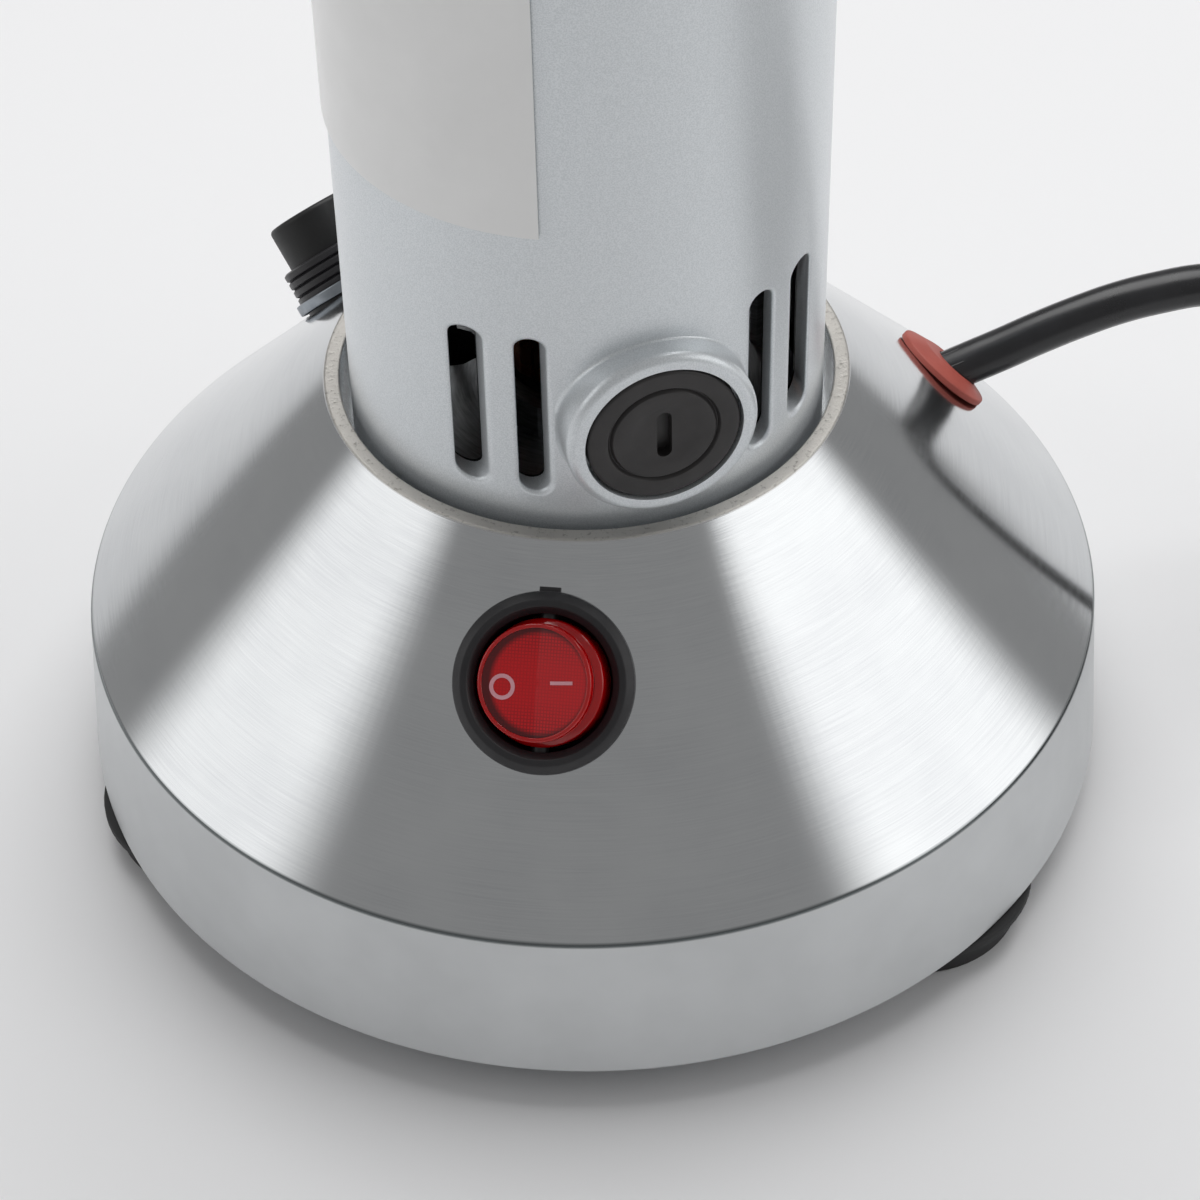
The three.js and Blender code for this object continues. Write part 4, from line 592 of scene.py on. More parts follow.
@dataclass(frozen=True)
class HatchedPlastic(Finish):
    """Clear red plastic over a cross-hatched inner face, on the piece's own UV map in metres, with a painted shade
    towards the left edge of the face.
    """

    pitch: float = 0.42 * MM
    line_share: float = 0.3
    shade: str = "#7C0A12"
    # painted shade: the face darkens towards its edge, most on the left, about a centre set off to the right
    edge_painted_shade: str = "#3A0408"
    edge_shade_centre: float = 0.6 * MM
    edge_shade_radius: float = 5.9 * MM
    edge_shade_fade: float = 0.7 * MM

    def pattern(self, tree: bpy.types.NodeTree, shader: bpy.types.Node) -> None:
        """Draw the lines of the hatch both ways, strongest beside the rim, and paint shade towards the left edge."""
        spot = add(tree, "ShaderNodeTexCoord")
        axis = add(tree, "ShaderNodeSeparateXYZ", {0: spot.outputs["UV"]})
        lines = []
        for way in (0, 1):
            count = add(tree, "ShaderNodeMath", {0: axis.outputs[way], 1: 1 / self.pitch}, operation="MULTIPLY")
            share = add(tree, "ShaderNodeMath", {0: count}, operation="FRACT")
            lines.append(add(tree, "ShaderNodeMath", {0: share, 1: self.line_share}, operation="LESS_THAN"))
        both = add(tree, "ShaderNodeMath", {0: lines[0], 1: lines[1]}, operation="MAXIMUM")
        reach = add(tree, "ShaderNodeMath", {0: axis.outputs[1]}, operation="ABSOLUTE")
        edge = add(tree, "ShaderNodeMapRange", {
            "Value": reach, "From Min": 2 * MM, "From Max": 7.2 * MM, "To Min": 0.25, "To Max": 0.9,
        })
        factor = add(tree, "ShaderNodeMath", {0: both, 1: edge}, operation="MULTIPLY")
        hatched = add(tree, "ShaderNodeMix", {
            0: factor, 6: linear(self.colour), 7: linear(self.shade)}, data_type="RGBA")
        # painted shade towards the edge of the face, strongest on the left
        off = add(tree, "ShaderNodeVectorMath", {
            0: spot.outputs["UV"], 1: (self.edge_shade_centre, 0, 0)}, operation="SUBTRACT")
        radius = add(tree, "ShaderNodeVectorMath", {0: off}, operation="LENGTH")
        rim = add(tree, "ShaderNodeMapRange", {
            "Value": radius.outputs["Value"], "From Min": self.edge_shade_radius,
            "From Max": self.edge_shade_radius + self.edge_shade_fade, "To Max": 0.9,
        })
        tone = add(tree, "ShaderNodeMix", {
            0: rim, 6: hatched.outputs[2], 7: linear(self.edge_painted_shade)}, data_type="RGBA")
        tree.links.new(tone.outputs[2], shader.inputs["Base Color"])


@dataclass(frozen=True)
class StackedSteel(Finish):
    """Electrical steel sheets stacked along Z: dark seams between thin plates."""

    sheet: float = 0.5 * MM

    def pattern(self, tree: bpy.types.NodeTree, shader: bpy.types.Node) -> None:
        """Draw and groove the seams."""
        spot = add(tree, "ShaderNodeTexCoord")
        axis = add(tree, "ShaderNodeSeparateXYZ", {0: spot.outputs["Object"]})
        count = add(tree, "ShaderNodeMath", {0: axis.outputs[2], 1: 1 / self.sheet}, operation="MULTIPLY")
        seam = add(tree, "ShaderNodeMath", {0: count, 1: 1.0}, operation="PINGPONG")
        self.tone(tree, shader, seam, "#2E3032")
        self.relief(tree, shader, seam, 0.05 * MM)


@dataclass(frozen=True)
class WoundWire(Finish):
    """Enamelled copper wire, wound: a fine ripple of wires side by side."""

    wire: float = 0.6 * MM

    def pattern(self, tree: bpy.types.NodeTree, shader: bpy.types.Node) -> None:
        """Ripple the surface with the wires."""
        spot = add(tree, "ShaderNodeTexCoord")
        wires = add(tree, "ShaderNodeTexWave", {
            "Vector": spot.outputs["Object"], "Scale": 1 / self.wire / 2, "Distortion": 1.5, "Detail": 2.0,
        }, bands_direction="DIAGONAL")
        self.tone(tree, shader, wires.outputs[1], "#5A2D16")
        self.relief(tree, shader, wires.outputs[1], 0.12 * MM)


BAND_TOP = LEVEL + 22.9 * MM
COLLAR_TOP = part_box("base_shell")[1].z

# Polished, hard and mirror-like, softened along the slope by the polishing belt's fine grooves
POLISHED_ALUMINIUM = PolishedCasting(
    "polished_cast_aluminium", "polished_aluminium", "#D6D8D9", 0.13, 1.0, anisotropy=0.5, groove=0.25 * MM,
    depth=0.0008 * MM, cloud=16 * MM, shade="#CBCDCF", band_top=BAND_TOP, lip_bottom=COLLAR_TOP - 0.3 * MM,
)
# Machined but not polished: paler, with a broad gleam
CAST_ALUMINIUM = TurnedMetal("machined_cast_aluminium", "cast_aluminium", "#C3C6C8", 0.42, 1.0, shade="#9A9D9F")
# Sprayed metallic paint: flakes under a thin clear film; the inner wall of the bore gets a dark painted shade
SILVER_PAINT = MetallicPaint(
    "silver_metallic_paint", "silver_paint", "#E6EAED", 0.36, 0.5, coat=0.25, coat_roughness=0.22,
    bore_shade_radius=28.6 * MM,
)
# Spun stainless steel: cool and bright, circular grain
SPUN_STEEL = TurnedMetal(
    "spun_stainless_steel", "stainless", "#D3D4D4", 0.26, 1.0, anisotropy=0.6, groove=0.3 * MM,
    depth=0.0015 * MM, cloud=40 * MM, shade="#C9CACB",
)
# Ground stainless steel of blades, shaft and screws
GROUND_STEEL = TurnedMetal("ground_stainless_steel", "stainless", "#C9CBCC", 0.3, 1.0, groove=0.25 * MM, cloud=5 * MM)
# Zinc-plated steel: slightly blue and cloudy
ZINC_PLATE = Moulded("zinc_plated_steel", "zinc_steel", "#9FA5AB", 0.34, 1.0, shade="#858B92", cloud=4 * MM)
# Glass-filled nylon, moulded: near black, satin
BLACK_NYLON = Moulded("moulded_black_nylon", "black_plastic", "#2A292B", 0.42, shade="#1E1D20")
# Gloss black ABS of the reset button
BLACK_ABS = Moulded("moulded_black_abs", "black_button", "#070708", 0.5, shade="#050506")
# Phenolic resin, turned: dark brown-grey, dull
PHENOLIC = Moulded("turned_phenolic", "phenolic", "#2F2C2C", 0.42, shade="#252323", grain=0.25 * MM, depth=0.01 * MM)
# Clear red polycarbonate, hatched on its inner face, glossy outside, with a painted shade towards its left edge
RED_POLYCARBONATE = HatchedPlastic("hatched_red_polycarbonate", "red_rocker", "#C90A14", 0.3, ior=1.5)
# The same plastic where it has no hatch
RED_RIM = Moulded("clear_red_polycarbonate", "red_rocker", "#F0050C", 0.12, ior=1.58, shade="#E0040B", transmission=0.5)
# Dark red painted shade on the rocker's waist ring, where the side of the clear plastic lies in shade
RED_PAINTED_SHADE = Moulded("red_polycarbonate_painted_shade", "red_rocker", "#3C0307", 0.2, ior=1.58, shade="#2A0205")
# Pad-printed ink of the marks
MARK_INK = Moulded("pale_pad_print", "red_rocker", "#E3A9B2", 0.4, shade="#D897A2")
# Natural rubber, moulded
BLACK_RUBBER = Moulded("moulded_black_rubber", "black_rubber", "#1E1E1F", 0.72, shade="#2A2A2B", depth=0.012 * MM)
# Brick-red vulcanised fibre-like rubber of the cord passage
RED_RUBBER = Moulded("moulded_brick_red_rubber", "red_rubber", "#AE5549", 0.55, shade="#9E473D", depth=0.01 * MM)
# Soft PVC of the cord and the plug: near black with a broad gloss
BLACK_PVC = Moulded("black_soft_pvc", "black_vinyl", "#1B1B1D", 0.3, ior=1.53, shade="#242427", grain=0.8 * MM, depth=0.008 * MM)
# Laminated polyester film, bare
STICKER_FILM = Moulded("bare_polyester_film", "sticker", "#F7F7F6", 0.4, shade="#F2F2F1", coat=0.35, cloud=14 * MM, grain=1.2 * MM)
NICKEL_BRASS = Moulded("nickel_plated_brass", "brass", "#C9C2B0", 0.2, 1.0, shade="#B3AA94")
COPPER_BARS = Moulded("turned_copper", "copper", "#B87350", 0.3, 1.0, shade="#96583A")
COPPER_WIRE = WoundWire("enamelled_copper_wire", "copper", "#A5593A", 0.35, 1.0)
LAMINATIONS = StackedSteel("stacked_electrical_steel", "lamination", "#6F7275", 0.5, 1.0)
CARBON = Moulded("pressed_carbon", "carbon", "#2B2B2D", 0.6, shade="#1D1D1E")
SILICONE = Moulded("moulded_silicone", "silicone", "#DAD8D2", 0.5, ior=1.41, shade="#CFCCC5")
BROWN_WIRE = Moulded("brown_wire_insulation", "lead_insulation", "#5D3A26", 0.45, shade="#4C2E1D")


def put(
    name: str, made: bpy.types.Object, finish: Finish, body: str, replaced: Sequence[str] = (),
    turned: bool = False,
) -> bpy.types.Object:
    """Give a finished piece its shading, finish and body.

    Args:
        name: The piece's name.
        made: The piece.
        finish: Its finish.
        body: The body that it rides on.
        replaced: The CAD nodes that it stands for.
        turned: Whether it is turned about the motor axis and cut by holes.

    Returns:
        The piece.
    """
    made.name = name
    if made.type == "MESH":
        made.data.name = name
        made.data.shade_smooth()
        made.data.set_sharp_from_angle(angle=SMOOTH_ANGLE)
        if turned:
            TurnedShading(made.data).apply()
    made.data.materials.clear()
    made.data.materials.append(finish.material())
    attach(made, body)
    if replaced:
        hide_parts(*replaced)
    log.info("%s rides on %s, finish %s", name, body, finish.name)
    return made


def dress(finish: Finish, *nodes: str) -> None:
    """Give CAD nodes that stay as they are their finish."""
    for node in nodes:
        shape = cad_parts[node]
        shape.data.materials.clear()
        shape.data.materials.append(finish.material())
        log.info("%s keeps its solid, finish %s", node, finish.name)


@dataclass
class PhotoCamera:
    """The camera, as it was fitted to the photograph: its place about the motor axis and its aim."""

    azimuth: float = 7.7
    distance: float = 342.2 * MM
    height: float = 343.1 * MM
    elevation: float = 43.70
    yaw: float = 0.172
    roll: float = -1.394
    focal_px: float = 3350.2
    frame_px: float = 1200.0
    sensor: float = 36.0

    def build(self) -> None:
        """Set up the camera."""
        data = bpy.data.cameras.new("camera")
        data.sensor_width = self.sensor
        data.lens = self.focal_px / self.frame_px * self.sensor
        camera = bpy.data.objects.new("camera", data)
        bpy.context.scene.collection.objects.link(camera)
        down, yaw, roll = (math.radians(a) for a in (self.elevation, self.yaw, self.roll))
        ahead = Vector((math.sin(yaw) * math.cos(down), math.cos(yaw) * math.cos(down), -math.sin(down)))
        right = ahead.cross(Vector((0, 0, 1))).normalized()
        up = right.cross(ahead)
        across = right * math.cos(roll) + up * math.sin(roll)
        upward = up * math.cos(roll) - right * math.sin(roll)
        aim = Matrix((across, upward, -ahead)).transposed().to_4x4()
        place = Matrix.Translation((0, -self.distance, self.height + LEVEL))
        camera.matrix_world = Matrix.Rotation(math.radians(self.azimuth), 4, "Z") @ place @ aim
        bpy.context.scene.camera = camera
        log.info("camera at %s, lens %.1f mm", tuple(round(v, 3) for v in camera.matrix_world.translation), data.lens)


@dataclass
class Softbox:
    """A soft lamp that looks at the grinder."""

    name: str
    azimuth: float
    elevation: float
    distance: float
    width: float
    height: float
    power: float
    fade: float = 0.0

    def soften(self, data: bpy.types.AreaLight) -> None:
        """Let the lamp's light fall off towards its left and right ends, by a share of its width."""
        data.use_nodes = True
        tree = data.node_tree
        tree.nodes.clear()
        spot = add(tree, "ShaderNodeNewGeometry")
        across = add(tree, "ShaderNodeSeparateXYZ", {0: spot.outputs["Parametric"]}).outputs[0]
        middle = add(tree, "ShaderNodeMath", {0: across, 1: 0.5}, operation="SUBTRACT")
        away = add(tree, "ShaderNodeMath", {0: middle}, operation="ABSOLUTE")
        glow = add(tree, "ShaderNodeMapRange", {
            "Value": away, "From Min": 0.5 - self.fade, "From Max": 0.5, "To Min": 1.0, "To Max": 0.0,
        }, interpolation_type="SMOOTHSTEP")
        light = add(tree, "ShaderNodeEmission", {"Strength": glow})
        add(tree, "ShaderNodeOutputLight", {"Surface": light})

    def build(self) -> None:
        """Hang the lamp and aim it at the cone."""
        aim = Vector((0, 0, 0.06))
        level, turn = math.radians(self.elevation), self.azimuth
        place = aim + polar(turn, self.distance * math.cos(level), self.distance * math.sin(level))
        data = bpy.data.lights.new(self.name, "AREA")
        data.shape, data.size, data.size_y, data.energy = "RECTANGLE", self.width, self.height, self.power
        if self.fade:
            self.soften(data)
        lamp = bpy.data.objects.new(self.name, data)
        bpy.context.scene.collection.objects.link(lamp)
        lamp.matrix_world = Matrix.Translation(place) @ (aim - place).to_track_quat("-Z", "Y").to_matrix().to_4x4()


@dataclass
class Studio:
    """Pale floor, soft lamps and a plain surround."""

    floor_reach: float = 3.0
    floor_colour: str = "#EDEDEE"
    surround: str = "#FFFFFF"
    surround_strength: float = 0.3
    lamps: tuple[Softbox, ...] = (
        Softbox("top_softbox", 180, 68, 1.1, 1.1, 0.9, 10),
        Softbox("left_softbox", -76, 23, 1.0, 0.95, 0.62, 1.75, 0.3),
        Softbox("right_softbox", 86, 23, 1.0, 1.1, 0.66, 2.6, 0.25),
    )

    def build(self) -> None:
        """Lay the floor, hang the lamps and set the surround."""
        mesh = bmesh.new()
        bmesh.ops.create_grid(mesh, x_segments=1, y_segments=1, size=self.floor_reach)
        floor = Solid(mesh).to_object("floor")
        material = bpy.data.materials.new("pale_paper")
        material.use_nodes = True
        tree = material.node_tree
        tree.nodes.clear()
        shader = add(tree, "ShaderNodeBsdfPrincipled", {"Base Color": linear(self.floor_colour), "Roughness": 0.6})
        add(tree, "ShaderNodeOutputMaterial", {"Surface": shader})
        floor.data.materials.append(material)
        for lamp in self.lamps:
            lamp.build()
        world = bpy.data.worlds.new("surround")
        world.use_nodes = True
        world.node_tree.nodes.clear()
        glow = add(world.node_tree, "ShaderNodeBackground", {
            "Color": linear(self.surround), "Strength": self.surround_strength,
        })
        add(world.node_tree, "ShaderNodeOutputWorld", {"Surface": glow})
        bpy.context.scene.world = world
        bpy.context.scene.view_settings.view_transform = "Standard"


@dataclass
class MainsCord:
    """The free cord from its grommet through its coil to the plug, with the coil's tie and the plug."""

    diameter: float = 6 * MM
    lay_azimuth: float = 7.7
    heading: float = 10.0
    exit_pitch: float = 20.8
    grommet_azimuth: float = 120.0
    grommet_radius: float = 53.8 * MM
    mouth_height: float = 0.0386273
    run: tuple[tuple[float, float], ...] = (
        (0.0042, 0.0402), (0.0086, 0.0418), (0.0143, 0.044), (0.02, 0.0459), (0.0257, 0.0474), (0.0314, 0.0482),
        (0.037, 0.0485), (0.044, 0.0476), (0.052, 0.0444), (0.06, 0.0389), (0.068, 0.0311), (0.076, 0.021),
        (0.084, 0.0117), (0.092, 0.0048), (0.1, 0.0001), (0.106, -0.0019), (0.112, -0.0025),
    )
    inner_radius: float = 24.2 * MM
    pitch: float = 6.5 * MM
    turns: float = 6.25
    climb_turns: float = 0.5
    steps_per_turn: int = 24
    first_distance: float = 0.118
    lead: tuple[tuple[float, float], ...] = (
        (0, 0), (0.005, 0.0005), (0.009, 0.0016), (0.013, 0.00355), (0.017, 0.0055), (0.021, 0.0066), (0.026, 0.0071),
    )
    tie_width: float = 6 * MM
    tie_thickness: float = 0.8 * MM
    tie_azimuth: float = 200.0
    tie_clearance: float = 0.2 * MM
    plug_radius: float = 17.6 * MM
    sleeve_end: float = 4.6 * MM
    sleeve_radius: float = 5.4 * MM
    sleeve_length: float = 22 * MM
    shoulder_radius: float = 12.7 * MM
    shoulder_length: float = 12 * MM
    body_length: float = 26 * MM
    pin_radius: float = 2.4 * MM
    pin_length: float = 19 * MM
    pin_spacing: float = 19 * MM
    pin_root: float = 7 * MM

    def __post_init__(self) -> None:
        """Work out the directions and the coil's centre."""
        self.lay = Matrix.Rotation(math.radians(self.lay_azimuth), 4, "Z")
        self.ahead = polar(90 + self.heading, 1)
        self.start = polar(self.grommet_azimuth - self.lay_azimuth, self.grommet_radius)
        self.mouth = self.start + Vector((0, 0, self.mouth_height))
        pitch = math.radians(self.exit_pitch)
        self.exit_way = self.ahead * math.cos(pitch) + Vector((0, 0, math.sin(pitch)))
        self.outer = self.inner_radius + self.pitch * self.turns / 2
        self.floor = self.run[-1][1]
        self.coil_start = self.along(self.first_distance, self.floor)
        self.centre = self.coil_start + polar(self.heading, 1) * self.outer

    def along(self, distance: float, height: float) -> Vector:
        """Point over the cord's heading at a distance from the grommet."""
        spot = self.start + self.ahead * distance
        return Vector((spot.x, spot.y, height))

    def placed(self, point: Vector) -> Vector:
        """Point of the cord's lay in the grinder's frame."""
        return self.lay @ (point + Vector((0, 0, LEVEL)))

    def coil_point(self, turn: float) -> Vector:
        """Point of the coil after a number of turns: in on the lower layer, out on the upper one."""
        half = self.turns / 2
        radius = self.inner_radius + self.pitch * abs(turn - half)
        share = min(1.0, max(0.0, (turn - half) / self.climb_turns + 0.5))
        climb = share * share * (3 - 2 * share)
        angle = self.coil_angle(turn)
        return self.centre + Vector((radius * math.cos(angle), radius * math.sin(angle), self.pitch * climb))

    def coil_angle(self, turn: float) -> float:
        """Angle about the coil's centre after a number of turns, which run clockwise."""
        first = math.atan2(self.coil_start.y - self.centre.y, self.coil_start.x - self.centre.x)
        return first - turn * 2 * math.pi

    def route(self) -> list[Vector]:
        """All points of the cord, from its mouth to the plug."""
        first = self.mouth + self.exit_way * self.run[0][0]
        free = [self.mouth, first] + [self.along(*spot) for spot in self.run[1:]]
        count = round(self.turns * self.steps_per_turn)
        coil = [self.coil_point(i * self.turns / count) for i in range(count + 1)]
        last = self.coil_angle(self.turns)
        self.lead_way = Vector((math.sin(last), -math.cos(last), 0))
        begin = coil[-1] + self.lead_way * (self.diameter + SEAT)
        lead = [begin + self.lead_way * d + Vector((0, 0, rise)) for d, rise in self.lead]
        self.plug_origin = lead[-1] + self.lead_way * SEAT
        return [self.placed(p) for p in free + coil + lead]

    def cord(self, points: Sequence[Vector]) -> bpy.types.Object:
        """Make the cord as one curve through its route."""
        data = bpy.data.curves.new("power_cord_whole", "CURVE")
        data.dimensions, data.bevel_depth, data.bevel_resolution = "3D", self.diameter / 2, 6
        data.use_fill_caps, data.resolution_u = True, 6
        spline = data.splines.new("BEZIER")
        spline.bezier_points.add(len(points) - 1)
        for knot, point in zip(spline.bezier_points, points):
            knot.co = point
            knot.handle_left_type = knot.handle_right_type = "AUTO"
        made = bpy.data.objects.new("power_cord_whole", data)
        bpy.context.scene.collection.objects.link(made)
        return put("power_cord_whole", made, BLACK_PVC, "root", ["power_cord", "power_cord_coil", "plug_lead"])

    def tie(self) -> bpy.types.Object:
        """Make the hook-and-loop band that holds the coil."""
        spare = self.diameter / 2 + self.tie_clearance
        inner, outer = self.inner_radius - spare, self.outer + spare
        bottom, top = -LEVEL + self.tie_thickness, self.floor + self.pitch + spare
        middle = Vector(((inner + outer) / 2, 0, (bottom + top) / 2))
        size = Vector((outer - inner, self.tie_width, top - bottom))
        wrap = Vector((self.tie_thickness, 0, self.tie_thickness)) * 2
        band = Solid.block(size + wrap, middle, 0.35 * MM)
        band = band.cut(Solid.block(size + Vector((0, self.tie_width, 0)), middle, 0.3 * MM))
        place = Matrix.Translation((self.centre.x, self.centre.y, 0))
        place = place @ Matrix.Rotation(math.radians(self.tie_azimuth), 4, "Z")
        band.moved(self.lay @ Matrix.Translation((0, 0, LEVEL)) @ place)
        return put("coil_band", band.to_object("coil_band"), BLACK_NYLON, "root", ["coil_tie"])

    def plug_place(self) -> Matrix:
        """Place of the plug: its axis runs on along the lead."""
        return self.lay @ Matrix.Translation((0, 0, LEVEL)) @ station(self.plug_origin, self.lead_way)

    def plug(self) -> bpy.types.Object:
        """Make the moulded plug with its ribbed sleeve, grip hollows and pin holes."""
        neck = self.sleeve_length + self.shoulder_length
        face = neck + self.body_length
        body = Solid.turned([
            Corner(0, 0), Corner(self.sleeve_end, 0, 0.6 * MM), Corner(self.sleeve_radius, self.sleeve_length, 2 * MM),
            Corner(self.shoulder_radius, neck - self.shoulder_length / 4, 3 * MM),
            Corner(self.plug_radius, neck + self.shoulder_length / 4, 3 * MM),
            Corner(self.plug_radius, face, 1.5 * MM), Corner(0, face),
        ], 96, 6)
        ribs = [
            Solid.turned([
                Corner(self.sleeve_end - 0.6 * MM, z), Corner(self.plug_radius, z),
                Corner(self.plug_radius, z + 1.2 * MM), Corner(self.sleeve_end - 0.6 * MM, z + 1.2 * MM),
            ], 48)
            for z in [(4 + 3.2 * i) * MM for i in range(5)]
        ]
        flat = self.plug_radius - 3.1 * MM
        flats = [
            Solid.block(Vector((0.04, 0.02, neck + 0.004)), Vector((0, side * (flat + 0.01), neck / 2)))
            for side in (-1, 1)
        ]
        hollows = [
            Solid.rod(9 * MM, -0.02, 0.02).moved(
                Matrix.Translation((side * (self.plug_radius + 6 * MM), 0, face - 12 * MM))
                @ Matrix.Rotation(math.pi / 2, 4, "X"))
            for side in (-1, 1)
        ]
        holes = [
            Solid.rod(self.pin_radius + SEAT, face - self.pin_root, face + OVERRUN, 32).moved(
                Matrix.Translation((0, side * self.pin_spacing / 2, 0)))
            for side in (-1, 1)
        ]
        body = body.cut(*ribs, *flats, *hollows, *holes).moved(self.plug_place())
        return put("mains_plug", body.to_object("mains_plug"), BLACK_PVC, "root", ["plug_body"])

    def pins(self) -> bpy.types.Object:
        """Make the two round pins on their carrier."""
        face = self.sleeve_length + self.shoulder_length + self.body_length
        pins = [
            Solid.turned([
                Corner(0, face - self.pin_root), Corner(self.pin_radius, face - self.pin_root),
                Corner(self.pin_radius, face + self.pin_length, 1.8 * MM), Corner(0, face + self.pin_length),
            ], 40).moved(Matrix.Translation((0, side * self.pin_spacing / 2, 0)))
            for side in (-1, 1)
        ]
        carrier = Solid.block(
            Vector((2 * self.pin_radius, self.pin_spacing, 3 * MM)), Vector((0, 0, face - self.pin_root + 1.5 * MM)))
        whole = carrier.joined(*pins).moved(self.plug_place())
        return put("mains_pins", whole.to_object("mains_pins"), NICKEL_BRASS, "root", ["plug_pins"])

    def build(self) -> None:
        points = self.route()
        cord = self.cord(points)
        pieces = [self.tie(), self.plug(), self.pins()]


@dataclass
class CastBase:
    """The polished casting, its bottom plate and its feet."""

    rim_radius: float = 71.6 * MM
    shoulder_radius: float = 69.8 * MM
    band_height: float = 22.9 * MM
    collar_radius: float = 34.6 * MM
    height: float = 59.7 * MM
    bore_radius: float = 32.7 * MM
    wall: float = 3 * MM
    shelf_top: float = 52 * MM
    shelf_thickness: float = 3.5 * MM
    shelf_inner: float = 23 * MM
    foot_azimuths: tuple[float, ...] = (57.2, 177.2, 297.2)
    foot_circle: float = 56.4 * MM
    foot_top: float = 15.2 * MM
    foot_bottom: float = 14.6 * MM
    foot_flange: float = 16.2 * MM
    flange_thickness: float = 1.5 * MM
    counterbore_radius: float = 4.6 * MM
    counterbore_depth: float = 3.4 * MM
    screw_radius: float = 2 * MM

    def __post_init__(self) -> None:
        """Work out the cone's slope."""
        self.slope = (self.height - self.band_height) / (self.shoulder_radius - self.collar_radius)
        self.lean = math.atan(self.slope)

    def cone_height(self, radius: float) -> float:
        """Height of the cone above the rim at a radius."""
        return self.height - (radius - self.collar_radius) * self.slope

    def on_cone(self, azimuth: float, radius: float) -> Matrix:
        """Place on the cone, its +Z square to the surface and its +Y up the slope."""
        spot = polar(azimuth, radius, LEVEL + self.cone_height(radius))
        return station(spot, polar(azimuth, math.sin(self.lean), math.cos(self.lean)))

    def casting(self, holes: Sequence[Solid]) -> bpy.types.Object:
        """Turn the casting, drill its holes and roughen its lip."""
        sleeve = self.bore_radius + self.wall
        shelf_bottom = self.shelf_top - self.shelf_thickness
        drop = self.wall / math.cos(self.lean)
        shell = Solid.turned([
            Corner(self.rim_radius - self.wall, 0, 0.3 * MM), Corner(self.rim_radius, 0, 0.5 * MM),
            Corner(self.shoulder_radius, self.band_height, 1.1 * MM),
            Corner(self.collar_radius, self.height, 0.5 * MM), Corner(self.bore_radius, self.height, 0.3 * MM),
            Corner(self.bore_radius, self.shelf_top), Corner(self.shelf_inner, self.shelf_top),
            Corner(self.shelf_inner, shelf_bottom), Corner(sleeve, shelf_bottom),
            Corner(sleeve, self.cone_height(sleeve) - drop),
            Corner(self.shoulder_radius - self.wall, self.cone_height(self.shoulder_radius - self.wall) - drop),
        ], 256, 6).moved(Matrix.Translation((0, 0, LEVEL)))
        shell = shell.cut(*holes)
        return put("cast_base", shell.to_object("cast_base"), POLISHED_ALUMINIUM, "root", ["base_shell"], turned=True)

    def foot(self, number: int, azimuth: float) -> bpy.types.Object:
        """Make a rubber foot with its flange, its taper and the hole for its screw."""
        top = LEVEL - SEAT
        foot = Solid.turned([
            Corner(self.screw_radius + SEAT, self.counterbore_depth),
            Corner(self.counterbore_radius, self.counterbore_depth), Corner(self.counterbore_radius, 0, 0.3 * MM),
            Corner(self.foot_bottom, 0, 0.8 * MM), Corner(self.foot_top, top - self.flange_thickness, 0.4 * MM),
            Corner(self.foot_flange, top - self.flange_thickness, 0.3 * MM), Corner(self.foot_flange, top, 0.4 * MM),
            Corner(self.screw_radius + SEAT, top),
        ], 64).moved(Matrix.Translation(polar(azimuth, self.foot_circle)))
        node = f"rubber_foot_{number}"
        return put(f"foot_{number}", foot.to_object(node), BLACK_RUBBER, "root", [node])

    def build(self, holes: Sequence[Solid]) -> None:
        """Make the casting and the feet, and dress the plate and its screws."""
        self.casting(holes)
        for number, azimuth in enumerate(self.foot_azimuths, 1):
            self.foot(number, azimuth)
        dress(ZINC_PLATE, "bottom_plate", "foot_screw_1", "foot_screw_2", "foot_screw_3")


